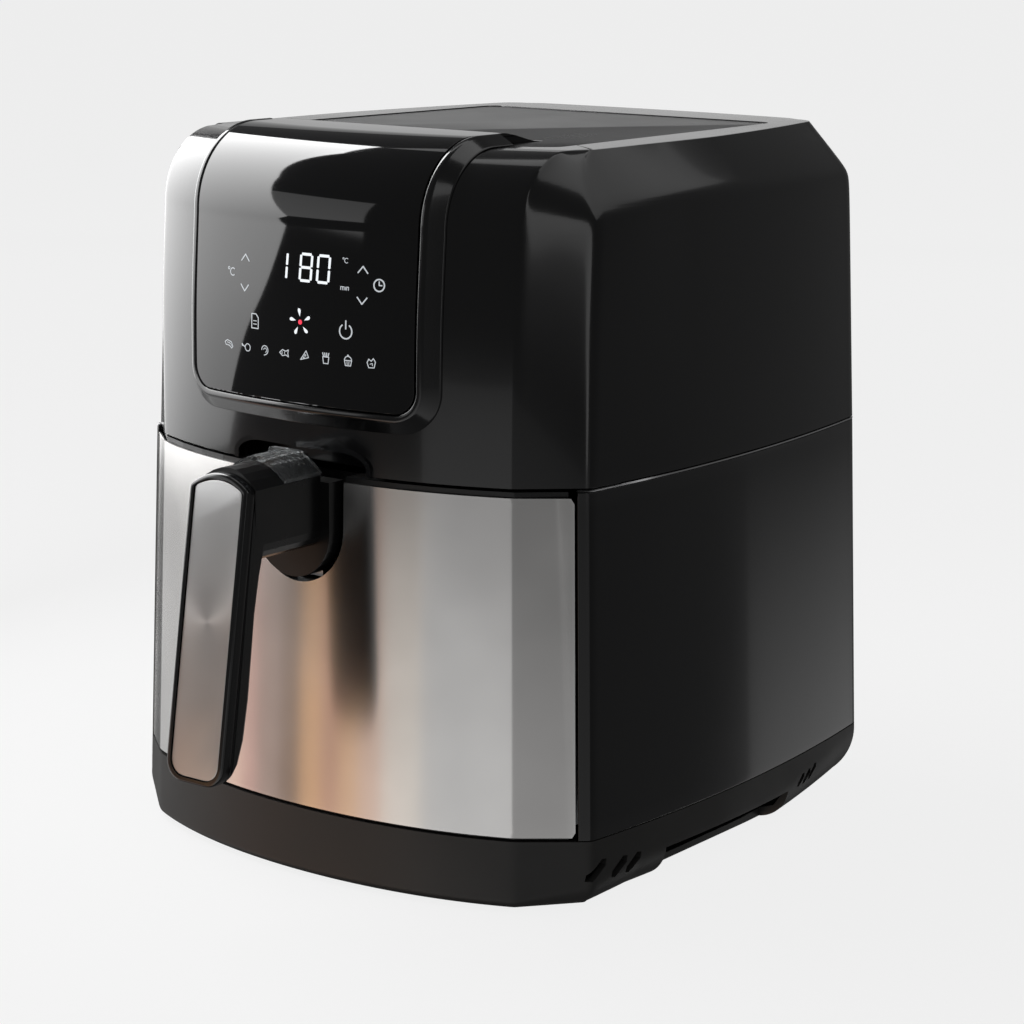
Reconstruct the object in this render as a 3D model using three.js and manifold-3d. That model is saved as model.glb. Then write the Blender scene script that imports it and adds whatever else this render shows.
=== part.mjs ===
// A basket air fryer with a slide-out drawer. Millimetres, +Z up, the front faces -Y.
// Every piece is laid out from the middle of the housing; the group then moves the whole
// object so that its origin is the bottom centre of its bounding box.
import * as THREE from "three";
import { mergeVertices } from "three/addons/utils/BufferGeometryUtils.js";
import Module from "manifold-3d";

const wasm = await Module();
wasm.setup();

// ---------------------------------------------------------------- driving dimensions
const GAP = 0.35; // clearance between neighbouring pieces
const FRAME_Y = 29.15; // moves the housing's middle so that the handle counts in the box
const FRAME_Z = 2; // and lifts it so that the feet stand on z = 0

// Housing: plan at the seam between its two halves, and heights
const FRONT_Y = -135; // front, on the centre line
const CREASE_X = 100.2; // where the bowed front meets the corner facet
const SIDE_FRONT = [125.0, -93.9]; // where the facet meets the side
const SIDE_BULGE = 7.2;
const BACK_CORNER = [109.2, 120.8]; // centre of the rear corner's rounding
const BACK_CORNER_R = 12;
const BACK_BOW = 7.5;
const WALL = 3;
const BASE_TOP = 29.7;
const SEAM = 180.7;
const CHAMFER_Z = 296.7;
const TOP = 319.3;
const SIDE_DRAFT_LOW = 2.57e-4; // outward growth per mm below the seam, as a fraction
const DEPTH_DRAFT_LOW = 1.8e-4;
const SIDE_LEAN_TOP = 5.8; // side moves in by this at the chamfer's lower edge
const CORNER_IN = [0.8, -3.8]; // the front corner's own step at the seam, and its change up to the chamfer
const CORNER_BACK = [1.7, 4.9]; // the same, backwards
const CORNER_DIP = 4.7; // the chamfer starts this much lower at the front corner
const CHAMFER_IN = 17.6; // and by this much more at the top
const REAR_CHAMFER_GAIN = 0.3; // the chamfer is wider at the rear by this fraction
const LEAN_Z = 247; // the front starts to lean back here
const LEAN = 3;
const ROLL_Z = 287; // and rolls over the top from here
const ROLL_R = TOP - ROLL_Z;
const BASE_EDGE = { front: 4, facet: 12, side: 17, rear: 28 }; // radius of the rounding under the base
const BASE_Z = -0.3;
const FOOT_PLACES = [[-86, -94], [86, -94], [-84, 88], [84, 88]];
const FOOT = { bottom: -FRAME_Z, radius: 11.5 };
const HAND_HOLD = { inner: 118, y: [-47, 55], top: 15.2, wall: 3 };
const VENT = { half: 45, y: 135.4, z: [225, 290], thick: 2.8 };
const CORD = { x: 84, y: 140.3, z: 62, hole: 8.4 };

// Drawer front, notch and handle
const DRAWER_EDGE_Y = -97.5; // the drawer front ends here on both sides
const STEEL_Z = [31.3, 177.8];
const STEEL = 0.9;
const NOTCH = { half: 24.4, centre: 156 };
const BOSS = { half: 21.6, front: -140.2, back: -130.8, top: 178.2 };
const NECK = { half: 16.3, front: -180.5, bottom: 149, edge: 180.5, crown: 188.3, corner: 8 };
const GRIP = { half: 16.3, bottom: 56.2, edge: 180.5, crown: 186.6, lean: 0.15, y: -186, z: 178 };
const FRAME_DEPTH = 5;
const INSERT = { half: 13.4, bottom: 58.8, edge: 180, crown: 183.8, thick: 1 };
const LEVER = { half: 3.8, pinY: -135, pinZ: 161, pin: 1.5, top: 165.6 };
const GUARD = { y: [-162.4, -139], thick: 1.6, lift: 0.35, tab: 191 };
const BUTTON = { half: 9.5, y: [-157.5, -143.5], edge: 184.9, top: 187.5, shoulder: 178 };

// Control panel
const PANEL = { half: 61.7, bottom: 210.5, corner: 10, proud: 4.7, under: 1 };
const PANEL_END_Y = -76;
const RAMP_END_Y = -44;
const PLATE = { half: 87.5, back: 106, rear: 82.5, top: 318.9, thick: 3, shoulder: 10 };
const BEZEL = { inner: 62.4, bottom: 209.8, ridge: 2.4, base: 8.6, proud: 5.1, endY: -80 };
const ARCH = { half: 36.5, crown: 190.5, edge: 184, depth: 18, wall: 2.5 };

// Drawer insides and the bay they slide in
const BAY = { half: 113, front: -96, back: 111, floor: 31, top: 178, sheet: 1 };
const PAN = { half: 104, y: [-101, 105], floor: 36, rim: 175.5, corner: 25, wall: 1.5 };
const SWITCH = { x: 60, z: 150 };
const BASKET = { half: 98.5, y: [-95.5, 99.5], floor: 46, rim: 172.5, corner: 21, wall: 1.3 };

// Hot-air chamber, fans and motor share one vertical axis
const AXIS_Y = 2;
const HOOD = { half: 107, corner: 27, bottom: 181, top: 242, wall: 1, narrow: 0.9 };
const SHAFT_R = 3;
const HEATER = { inner: 66, outer: 82, start: 0.21, z: 200, tube: 3.2 };
const SENSOR = { y: [68, 118], z: 214, radius: 2 };

// ---------------------------------------------------------------- materials
const finish = (color, roughness, metalness) => ({ color, roughness, metalness });
const GLOSS_BLACK = finish(0x070708, 0.12, 0);
const PANEL_BLACK = finish(0x050506, 0.05, 0);
const SATIN_BLACK = finish(0x131313, 0.42, 0);
const BASE_GREY = finish(0x242322, 0.55, 0);
const BRUSHED = finish(0xb9b6b3, 0.3, 1);
const INSERT_STEEL = finish(0xc4c3c2, 0.28, 1);
const NONSTICK = finish(0x2a2a2b, 0.4, 0.3);
const SHEET_STEEL = finish(0x9a9c9e, 0.35, 1);
const ALUMINIUM = finish(0xb4b7ba, 0.35, 1);
const SCREW_STEEL = finish(0x8f9295, 0.3, 1);
const RUBBER = finish(0x1b1b1b, 0.85, 0);
const BOARD_GREEN = finish(0x1e4a2c, 0.5, 0);
const CLEAR = finish(0xdfe4e6, 0.05, 0);
const WHITE_PLASTIC = finish(0xd8d6d0, 0.45, 0);
const COPPER = finish(0x9c5a2e, 0.35, 1);

// ---------------------------------------------------------------- geometry helpers
const clamp = (value, low = 0, high = 1) => Math.min(high, Math.max(low, value));
const mix = (a, b, t) => a + (b - a) * t;
const range = (count) => Array.from({ length: count }, (_, i) => i);
const steps = (a, b, count) => range(count + 1).map((i) => mix(a, b, i / count));
const flat = (x, y) => new THREE.Vector2(x, y);
const space = (x, y, z) => new THREE.Vector3(x, y, z);

// A closed geometry as a manifold-3d solid, turned so that its faces point outwards.
function solid(geometry) {
  const bare = geometry.clone();
  bare.deleteAttribute("normal");
  bare.deleteAttribute("uv");
  const merged = mergeVertices(bare, 1e-4);
  const vertProperties = merged.attributes.position.array;
  const triVerts = new Uint32Array(merged.index.array);
  const corner = (i) => space().fromArray(vertProperties, 3 * triVerts[i]);
  let volume = 0;
  for (let i = 0; i < triVerts.length; i += 3) {
    volume += corner(i).dot(corner(i + 1).cross(corner(i + 2)));
  }
  if (volume < 0) triVerts.reverse();
  return new wasm.Manifold(new wasm.Mesh({ numProp: 3, vertProperties, triVerts }));
}

// A flat section carried through a list of stations, each of which puts it in space.
function carry(section, stations) {
  const last = stations.length - 1;
  const shape = new THREE.Shape(section);
  const options = { depth: last, steps: last, bevelEnabled: false };
  const geometry = new THREE.ExtrudeGeometry(shape, options);
  const at = geometry.attributes.position;
  for (let i = 0; i < at.count; i += 1) {
    const place = stations[Math.round(at.getZ(i))];
    const point = place(flat(at.getX(i), at.getY(i)));
    at.setXYZ(i, point.x, point.y, point.z);
  }
  return solid(geometry);
}

// The same section swept straight along one axis: up Z, along X (section in y, z) or
// along Y (section in x, z).
const between = (section, low, high, place) => carry(section, [low, high].map((at) => (p) => place(p, at)));
const upward = (section, low, high) => between(section, low, high, (p, z) => space(p.x, p.y, z));
const sideways = (section, low, high) => between(section, low, high, (p, x) => space(x, p.x, p.y));
const endways = (section, low, high) => between(section, low, high, (p, y) => space(p.x, y, p.y));

function box(x0, x1, y0, y1, z0, z1) {
  const geometry = new THREE.BoxGeometry(x1 - x0, y1 - y0, z1 - z0);
  return solid(geometry.translate((x0 + x1) / 2, (y0 + y1) / 2, (z0 + z1) / 2));
}

// A box on the left (side -1) or the right (side 1), between two distances from the middle.
function sideBox(side, near, far, y0, y1, z0, z1) {
  return side > 0 ? box(near, far, y0, y1, z0, z1) : box(-far, -near, y0, y1, z0, z1);
}

function post(x, y, z0, z1, radius, sides = 20) {
  const geometry = new THREE.CylinderGeometry(radius, radius, z1 - z0, sides).rotateX(Math.PI / 2);
  return solid(geometry.translate(x, y, (z0 + z1) / 2));
}

// A profile of [radius, height] pairs turned about a vertical axis.
function turned(profile, x, y, sides = 24) {
  const points = profile.map(([radius, height]) => flat(radius, height));
  return solid(new THREE.LatheGeometry(points, sides).rotateX(Math.PI / 2).translate(x, y, 0));
}

const union = (...parts) => parts.reduce((whole, part) => whole.add(part));
const cut = (whole, ...tools) => tools.reduce((left, tool) => left.subtract(tool), whole);

function arc(x, y, rx, ry, from, to, count) {
  return steps(from, to, count).map((a) => flat(x + rx * Math.cos(a), y + ry * Math.sin(a)));
}

function roundedRectangle(x0, x1, y0, y1, radius, count = 5) {
  const quarter = Math.PI / 2;
  return [
    ...arc(x1 - radius, y0 + radius, radius, radius, -quarter, 0, count),
    ...arc(x1 - radius, y1 - radius, radius, radius, 0, quarter, count),
    ...arc(x0 + radius, y1 - radius, radius, radius, quarter, 2 * quarter, count),
    ...arc(x0 + radius, y0 + radius, radius, radius, 2 * quarter, 3 * quarter, count),
  ];
}

// A closed outline, anticlockwise, moved inwards with mitred corners, by a distance or by a
// function of the point.
function inset(outline, distance) {
  const normal = (a, b) => flat(b.y - a.y, a.x - b.x).normalize();
  const amount = typeof distance === "function" ? distance : () => distance;
  return outline.map((point, i) => {
    const before = outline.at(i - 1);
    const after = outline[(i + 1) % outline.length];
    const one = normal(before, point);
    const two = normal(point, after);
    const mitre = one.clone().add(two).divideScalar(1 + one.dot(two));
    return point.clone().addScaledVector(mitre, -amount(point));
  });
}

// A solid whose outline is replaced, point for point, at each station: place(point, index).
function loft(outline, places) {
  const index = (p) => outline.findIndex((q) => q.distanceTo(p) < 0.001);
  return carry(outline, places.map((place) => (p) => place(index(p))));
}

// ---------------------------------------------------------------- housing form
function frontBow(x) {
  const t = x / CREASE_X;
  return 17.8 * t ** 2 + 3.14 * t ** 4;
}

// The housing's outline at the seam, anticlockwise from the middle of the front.
function plan() {
  const front = steps(0, CREASE_X, 6).map((x) => flat(x, FRONT_Y + frontBow(x)));
  const sideEndX = BACK_CORNER[0] + BACK_CORNER_R;
  const side = steps(0, 1, 6).map((s) => {
    const x = mix(SIDE_FRONT[0], sideEndX, s) + 4 * SIDE_BULGE * s * (1 - s);
    return flat(x, mix(SIDE_FRONT[1], BACK_CORNER[1], s));
  });
  const corner = arc(...BACK_CORNER, BACK_CORNER_R, BACK_CORNER_R, 0, Math.PI / 2, 4).slice(1);
  const cornerY = BACK_CORNER[1] + BACK_CORNER_R;
  const back = steps(1, 0, 3).slice(1).map((t) => {
    return flat(BACK_CORNER[0] * t, cornerY + BACK_BOW * (1 - t * t));
  });
  const right = [...front, ...side, ...corner, ...back];
  const left = right.slice(1, -1).reverse().map((p) => flat(-p.x, p.y));
  return [...right, ...left];
}

const PLAN = plan();

function roll(z) {
  const lean = LEAN * clamp((z - LEAN_Z) / (ROLL_Z - LEAN_Z));
  const over = Math.max(0, z - ROLL_Z);
  return lean + ROLL_R - Math.sqrt(Math.max(0, ROLL_R ** 2 - over ** 2));
}

// Where a point of the seam outline lies at another height of the housing.
function drafted(p, z) {
  if (z < SEAM) {
    const under = SEAM - z;
    return flat(p.x * (1 + SIDE_DRAFT_LOW * under), p.y * (1 + DEPTH_DRAFT_LOW * under));
  }
  const rise = clamp((z - SEAM) / (CHAMFER_Z - SEAM));
  const rear = 1 + REAR_CHAMFER_GAIN * clamp((p.y - 20) / 100);
  const [start, full] = p.y < 0 ? [CREASE_X, SIDE_FRONT[0]] : [BACK_CORNER[0] * 2 / 3, BACK_CORNER[0]];
  const side = clamp((Math.abs(p.x) - start) / (full - start));
  const corner = side * clamp((-p.y - 20) / 74);
  const chamferZ = CHAMFER_Z - CORNER_DIP * corner;
  const chamfer = CHAMFER_IN * rear * clamp((z - chamferZ) / (TOP - chamferZ));
  const inwards = side * (SIDE_LEAN_TOP * rise + chamfer) + corner * (CORNER_IN[0] + CORNER_IN[1] * rise);
  const back = corner * (CORNER_BACK[0] + CORNER_BACK[1] * rise);
  return flat(p.x - Math.sign(p.x) * inwards, p.y + back + roll(z) * clamp((-p.y - 75) / 39));
}

function housing(outline, levels, drop = 0) {
  return carry(outline, levels.map((z) => (p) => {
    const moved = drafted(p, z);
    return space(moved.x, moved.y, z - drop);
  }));
}

const rollLevels = steps(0.3, Math.PI / 2, 6).map((a) => ROLL_Z + ROLL_R * Math.sin(a));
const upperLevels = (low) => {
  const above = rollLevels.filter((z) => z > CHAMFER_Z + 1);
  return [low, LEAN_Z, ROLL_Z, CHAMFER_Z - CORNER_DIP, CHAMFER_Z, ...above];
};

// A point on the upper housing's front: x across, run measured up the front and back over
// the roll, and height above the surface.
function onFront(x, run, height) {
  const y = FRONT_Y + frontBow(x);
  const rollStart = LEAN_Z + Math.hypot(ROLL_Z - LEAN_Z, LEAN);
  const rollEnd = rollStart + ROLL_R * Math.PI / 2;
  if (run <= LEAN_Z) return space(x, y - height, run);
  if (run <= rollStart) {
    const t = (run - LEAN_Z) / (rollStart - LEAN_Z);
    return space(x, y + LEAN * t - height, mix(LEAN_Z, ROLL_Z, t));
  }
  if (run <= rollEnd) {
    const a = (run - rollStart) / ROLL_R;
    const radius = ROLL_R + height;
    return space(x, y + LEAN + ROLL_R - radius * Math.cos(a), ROLL_Z + radius * Math.sin(a));
  }
  return space(x, y + LEAN + ROLL_R + run - rollEnd, TOP + height);
}
const RUN_ROLL = LEAN_Z + Math.hypot(ROLL_Z - LEAN_Z, LEAN);
const RUN_TOP = RUN_ROLL + ROLL_R * Math.PI / 2;

function uShape(half, centre, top) {
  return [...arc(0, centre, half, half, Math.PI, 2 * Math.PI, 16), flat(half, top), flat(-half, top)];
}

function archTop(half, edge, crown, bottom, count = 8) {
  const rise = steps(1, -1, count).map((t) => flat(half * t, edge + (crown - edge) * (1 - t * t)));
  return [flat(-half, bottom), flat(half, bottom), ...rise];
}

// ---------------------------------------------------------------- base and feet
function edgeRadius(p) {
  const { front, facet, side, rear } = BASE_EDGE;
  const ahead = clamp((Math.abs(p.x) - CREASE_X) / (SIDE_FRONT[0] - CREASE_X));
  if (p.y < SIDE_FRONT[1]) return mix(front, facet, ahead);
  return mix(facet, side, clamp((p.y - SIDE_FRONT[1]) / 30)) + (rear - side) * clamp((p.y - 40) / 80);
}

// The base's outer form, or with a wall its inner form.
function baseForm(levels, wall) {
  const outline = inset(PLAN, wall);
  return loft(outline, levels.map((z) => {
    const rounded = inset(outline, (p) => {
      const radius = Math.max(1, edgeRadius(p) - wall);
      const under = clamp((radius + BASE_Z - z) / radius);
      return radius * (1 - Math.sqrt(1 - under ** 2));
    });
    return (i) => {
      const moved = drafted(rounded[i], z);
      return space(moved.x, moved.y, z + wall);
    };
  }));
}

function slantedSlot(y, z, length, width, slope) {
  const along = flat(Math.cos(slope), Math.sin(slope));
  const across = flat(-along.y, along.x);
  const corner = (i, j) => {
    return flat(y, z).addScaledVector(along, i * length / 2).addScaledVector(across, j * width / 2);
  };
  return [corner(-1, -1), corner(1, -1), corner(1, 1), corner(-1, 1)];
}

function baseTray() {
  const outer = baseForm([BASE_Z, 1.2, 3.7, 7.7, 12, 17, 22, BASE_Z + BASE_EDGE.rear, BASE_TOP], 0);
  const inner = baseForm([BASE_Z, 3.7, 9, 16, BASE_TOP + 4], WALL);
  const vents = [
    ...[[-93, 16.3, 14], [-79, 14.7, 13], [-69.5, 14.2, 12.5]].map((slot) => slantedSlot(...slot, 4, 0.62)),
    ...[[67.8, 17.2, 8.5], [73.8, 17.5, 9.5], [79.6, 18.5, 10]].map((slot) => slantedSlot(...slot, 2.8, 0.7)),
  ];
  const middle = box(-110, 110, -150, 150, -5, 60);
  const slots = vents.map((outline) => cut(sideways(outline, -150, 150), middle));
  const { inner: near, y: [y0, y1], top, wall } = HAND_HOLD;
  const pods = [-1, 1].map((side) => {
    return sideBox(side, near - 2 * wall, 140, y0 - wall, y1 + wall, BASE_Z, top + wall).intersect(outer);
  });
  const grips = [-1, 1].map((side) => sideBox(side, near, 150, y0, y1, -5, top));
  const posts = FOOT_PLACES.map(([x, y]) => post(x, y, BASE_Z, BASE_TOP, 8, 14));
  const holes = FOOT_PLACES.flatMap(([x, y]) => {
    return [post(x, y, BASE_Z - 2, 14, 1.9, 10), post(x, y, BASE_Z - 2, 3.2, 5.5, 14)];
  });
  return cut(union(cut(outer, inner), ...pods, ...posts), ...grips, ...holes, ...slots);
}

// A rubber pad with a collar that fills the counterbore in the base.
function foot(x, y) {
  const { bottom, radius } = FOOT;
  const pad = [
    [4.3, 0], [radius - 0.6, 0], [radius, 1], [5, 1.35], [5, 4.8],
    [2.2, 4.8], [2.2, 2.6], [4.3, 2.6], [4.3, 0],
  ];
  return turned(pad.map(([r, z]) => [r, z + bottom]), x, y, 16);
}

function footScrew(x, y) {
  const screw = [[0, 1], [3.6, 1.1], [3.9, 1.5], [3.9, 2.25], [1.5, 2.25], [1.5, 15.2], [0, 15.8]];
  return turned(screw.map(([r, z]) => [r, z + FOOT.bottom]), x, y, 12);
}

// ---------------------------------------------------------------- housing shells
function lowerShell() {
  const top = SEAM - 0.6;
  const outer = housing(PLAN, [BASE_TOP + GAP, top]);
  const inner = housing(inset(PLAN, WALL), [BASE_TOP - 5, top + 5]);
  const mouth = box(-140, 140, -160, DRAWER_EDGE_Y, 0, 200);
  return cut(outer, inner, mouth, cordHole());
}

function seamTrim() {
  const outer = housing(inset(PLAN, -0.15), [SEAM - 0.25, SEAM + 0.35]);
  const inner = housing(inset(PLAN, WALL), [SEAM - 2, SEAM + 2]);
  return cut(outer, inner, box(-140, 140, -160, DRAWER_EDGE_Y, 0, 200));
}

function plateOutline(grow = 0) {
  const { half, back, rear, shoulder } = PLATE;
  const front = PANEL_END_Y;
  const corner = 5;
  const outline = [
    flat(half - shoulder, front),
    flat(half, front + shoulder * 0.8),
    flat(rear, back - corner),
    flat(rear - corner, back),
  ];
  const whole = [...outline, ...outline.slice().reverse().map((p) => flat(-p.x, p.y))];
  return grow ? inset(whole, -grow) : whole;
}

function archRecess(grow) {
  const { half, crown, edge } = ARCH;
  const shoulder = arc(half - 14 , edge, 14 + grow, crown - edge + grow, 0, Math.PI / 2, 6);
  const right = [flat(half + grow, 175), ...shoulder];
  const left = right.slice().reverse().map((p) => flat(-p.x, p.y));
  return [...right, ...left];
}

function upperShell() {
  const low = SEAM + 0.7;
  const outer = housing(PLAN, upperLevels(low));
  const innerLevels = [low - 6 + WALL, LEAN_Z, ROLL_Z, CHAMFER_Z, ...rollLevels.slice(-3)];
  const inner = housing(inset(PLAN, WALL), innerLevels, WALL);
  const pocket = endways(archRecess(ARCH.wall), FRONT_Y - 5, FRONT_Y + ARCH.depth + ARCH.wall);
  const aboveSeam = box(-60, 60, -150, 0, low, 210);
  const lined = union(cut(outer, inner), pocket.intersect(outer).intersect(aboveSeam));
  const recess = endways(archRecess(0), FRONT_Y - 10, FRONT_Y + ARCH.depth);
  const topOpening = upward(plateOutline(0.7), TOP - 12, TOP + 10);
  const window = box(-54, 54, -160, -105, 218, 300);
  return cut(lined, recess, topOpening, window, box(-VENT.half, VENT.half, 120, 150, ...VENT.z));
}

function rearVent() {
  const { half, y, z, thick } = VENT;
  const plate = box(GAP - half, half - GAP, y, y + thick, z[0] + GAP, z[1] - GAP);
  const slots = range(6).map((i) => box(-39, 39, y - 3, y + 6, z[0] + 6 + i * 9.4, z[0] + 11 + i * 9.4));
  return cut(plate, ...slots);
}

function cordHole() {
  return endways(arc(CORD.x, CORD.z, CORD.hole, CORD.hole, 0, 1.9 * Math.PI, 19), 120, 150);
}

function cordGland() {
  const profile = [[4, -9], [8, -9], [8, 0], [11, 0], [10.4, 3], [6.5, 5.5], [4, 5.5], [4, -9]];
  const points = profile.map(([radius, height]) => flat(radius, height));
  return solid(new THREE.LatheGeometry(points, 24).translate(CORD.x, CORD.y, CORD.z));
}

// ---------------------------------------------------------------- control panel
// Pairs of outer and inner points of the cover, from the panel's lower edge, over the top
// and down the ramp to the top plate.
function coverRun(x) {
  const runs = [PANEL.bottom - 2, LEAN_Z, RUN_ROLL, ...steps(RUN_ROLL, RUN_TOP, 9).slice(1)];
  const pairs = runs.map((run) => [onFront(x, run, PANEL.proud), onFront(x, run, PANEL.under)]);
  const thick = PANEL.proud - PANEL.under;
  for (const t of steps(0, 1, 5)) {
    const z = PLATE.top + (TOP + PANEL.proud - PLATE.top) * (0.5 + 0.5 * Math.cos(Math.PI * t));
    const y = mix(PANEL_END_Y + 1, RAMP_END_Y, t);
    pairs.push([space(x, y, z), space(x, y, z - thick)]);
  }
  return pairs;
}

function controlPanel() {
  const count = coverRun(0).length;
  const section = [...range(count).map((i) => flat(i, 0)), ...range(count).reverse().map((i) => flat(i, 1))];
  const stations = steps(-PANEL.half - 1, PANEL.half + 1, 10).map((x) => {
    const pairs = coverRun(x);
    return (p) => pairs[Math.round(p.x)][Math.round(p.y)];
  });
  const window = roundedRectangle(-PANEL.half, PANEL.half, PANEL.bottom, 420, PANEL.corner);
  const sheet = carry(section, stations).intersect(endways(window, -160, 20));
  const plate = upward(plateOutline(), PLATE.top - PLATE.thick, PLATE.top);
  return union(sheet, plate);
}

function panelBezel() {
  const { inner, bottom, ridge, base, proud, endY } = BEZEL;
  const radius = PANEL.corner + inner - PANEL.half;
  const endRun = RUN_TOP + endY - (FRONT_Y + frontBow(inner) + LEAN + ROLL_R);
  const side = [...steps(bottom + radius, LEAN_Z, 1), ...steps(RUN_ROLL, RUN_TOP, 9), endRun];
  const right = [
    ...steps(0, inner - radius, 4).map((x) => ({ x, run: bottom, out: flat(0, -1) })),
    ...steps(-Math.PI / 2, 0, 5).slice(1, -1).map((a) => {
      const out = flat(Math.cos(a), Math.sin(a));
      return { x: inner - radius + radius * out.x, run: bottom + radius + radius * out.y, out };
    }),
    ...side.map((run) => ({ x: inner, run, out: flat(1, 0) })),
  ];
  const mirrored = right.slice(1).reverse().map((s) => ({ ...s, x: -s.x, out: flat(-s.out.x, s.out.y) }));
  const section = [flat(0, GAP), flat(base, GAP), flat(ridge, proud), flat(0, proud - 0.3)];
  const stations = [...mirrored, ...right].map(({ x, run, out }) => {
    return (p) => onFront(x + out.x * p.x, run + out.y * p.x, p.y);
  });
  return carry(section, stations);
}

function displayBoard() {
  const board = box(-52, 52, -119, -117.4, 222, 296);
  const display = box(-30, 40, -121.5, -118.5, 250, 284);
  const connector = box(-12, 12, -118, -112, 226, 234);
  const buzzer = box(34, 44, -118, -111, 270, 280);
  return union(board, display, connector, buzzer);
}

// ---------------------------------------------------------------- drawer front and handle
function facade(insetBy, z0, z1) {
  const slab = box(-121.4, 121.4, -160, DRAWER_EDGE_Y - 0.3, z0, z1);
  return housing(inset(PLAN, insetBy), [z0 - 1, z1 + 1]).intersect(slab);
}

function notch(half, back) {
  return endways(uShape(half, NOTCH.centre, 200), -160, back);
}

function drawerFront() {
  const z0 = BASE_TOP + 0.8;
  const z1 = SEAM - 0.7;
  const body = facade(STEEL + GAP, z0, z1);
  const hollow = housing(inset(PLAN, STEEL + GAP + WALL), [z0 + WALL, z1 - WALL]);
  const within = box(-117, 117, -150, 0, 0, 300);
  const rim = NOTCH.half + 2.5;
  const surround = endways(uShape(rim, NOTCH.centre, z1), -160, PAN.y[0] - 0.8).intersect(body);
  return cut(union(cut(body, hollow.intersect(within)), surround), notch(NOTCH.half, -50));
}

function steelFront() {
  const skin = cut(facade(0, ...STEEL_Z), housing(inset(PLAN, STEEL), [0, 200]));
  return cut(skin, notch(NOTCH.half + 0.1, -100));
}

// Moves a point given by its depth behind the handle's leaning front face.
const onGrip = (x, depth, z) => space(x, GRIP.y - GRIP.lean * (GRIP.z - z) + depth, z);

// A side profile of [depth, z] pairs carried across the handle with softened edges.
function gripSolid(profile, half, soft) {
  const outline = profile.map(([depth, z]) => flat(depth, z));
  const ends = [[half, soft], [half - 0.3 * soft, 0.45 * soft], [half - soft, 0]];
  const across = [...ends.map(([x, by]) => [-x, by]), ...ends.reverse()];
  return loft(outline, across.map(([x, by]) => {
    const soften = inset(outline, by);
    return (i) => onGrip(x, soften[i].x, soften[i].y);
  }));
}

function neckOutline(lower = 0) {
  const { half, bottom, edge, crown, corner } = NECK;
  const arch = archTop(half - lower, edge - lower, crown - lower, bottom + corner).slice(2);
  return [
    ...arc(-half + corner, bottom + corner, corner, corner, Math.PI, 1.5 * Math.PI, 4),
    ...arc(half - corner, bottom + corner, corner, corner, 1.5 * Math.PI, 2 * Math.PI, 4),
    ...arch,
  ];
}

function handleBody() {
  const front = FRAME_DEPTH + GAP;
  const grip = gripSolid([
    [front, 58.8], [8, 61], [10.9, 65.1], [13.2, 75.1], [14, 92], [13.2, 128], [14, 144],
    [16, 160], [16, 182], [front, 182],
  ], GRIP.half, 2.2);
  const neck = endways(neckOutline(), NECK.front, BOSS.back);
  const lowered = box(-30, 30, -139.5, -120, BOSS.top, 200);
  const boss = endways(uShape(BOSS.half, NOTCH.centre, BOSS.top), BOSS.front, BOSS.back);
  const well = box(-BUTTON.half - GAP, BUTTON.half + GAP, BUTTON.y[0] - GAP, BUTTON.y[1] + GAP, 159, 200);
  const leverRoom = box(-LEVER.half - 0.6, LEVER.half + 0.6, -150.5, -120, 155, 175);
  const pinHole = alongX(LEVER.pinY, LEVER.pinZ, LEVER.pin + GAP, -9.4, 9.4);
  const wide = [flat(-40, 0), flat(40, 0), flat(40, 200), flat(-40, 200)];
  const frontFace = gripLayer(wide, -60, front);
  const screwHoles = [-12, 12].map((x) => alongY(x, 150, 1.5, BOSS.back - 9, BOSS.back + 5));
  return cut(union(grip, neck, boss), lowered, well, leverRoom, pinHole, frontFace, ...screwHoles);
}

function alongY(x, z, radius, y0, y1, sides = 16) {
  const geometry = new THREE.CylinderGeometry(radius, radius, y1 - y0, sides);
  return solid(geometry.translate(x, (y0 + y1) / 2, z));
}

function handleFace(half, bottom, edge, crown, corner) {
  return [
    ...arc(-half + corner, bottom + corner, corner, corner, Math.PI, 1.5 * Math.PI, 5),
    ...arc(half - corner, bottom + corner, corner, corner, 1.5 * Math.PI, 2 * Math.PI, 5),
    ...archTop(half, edge, crown, 0, 10).slice(2),
  ];
}

function gripLayer(outline, near, far) {
  return carry(outline, [near, far].map((depth) => (p) => onGrip(p.x, depth, p.y)));
}

function handleFrame() {
  const outline = handleFace(GRIP.half, GRIP.bottom, GRIP.edge, GRIP.crown, 9);
  const soft = inset(outline, 1.2);
  const body = loft(outline, [[0, 1], [0.8, 0.25], [2, 0], [FRAME_DEPTH, 0]].map(([depth, amount]) => (i) => {
    const moved = outline[i].clone().lerp(soft[i], amount);
    return onGrip(moved.x, depth, moved.y);
  }));
  return cut(body, gripLayer(insertOutline(GAP), -1, INSERT.thick + 0.9));
}

function insertOutline(grow) {
  const { half, bottom, edge, crown } = INSERT;
  return inset(handleFace(half, bottom, edge, crown, 7), -grow);
}

function handleInsert() {
  return gripLayer(insertOutline(0), 0.5, 0.5 + INSERT.thick);
}

function guardArch(lift, y0, y1) {
  const { half, edge, crown } = NECK;
  const arch = (up) => archTop(half, edge + up, crown + up, 0, 8).slice(2);
  return endways([...arch(lift + GUARD.thick), ...arch(lift).reverse()], y0, y1);
}

function buttonGuard() {
  const shell = guardArch(GUARD.lift, ...GUARD.y);
  const ribs = range(5).map((i) => {
    const y = GUARD.y[0] + 4 + i * 3.2;
    return guardArch(GUARD.lift + 0.5, y, y + 1).intersect(box(-12, 12, -200, 0, 150, 200));
  });
  const tab = endways(roundedRectangle(-9, 9, 180, GUARD.tab, 1.5, 3), -144.5, -141.8);
  const { half, edge, crown } = NECK;
  const under = endways(archTop(half, edge + GUARD.lift + 0.5, crown + GUARD.lift + 0.5, 150), -150, -130);
  return union(shell, ...ribs, cut(tab, under));
}

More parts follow.
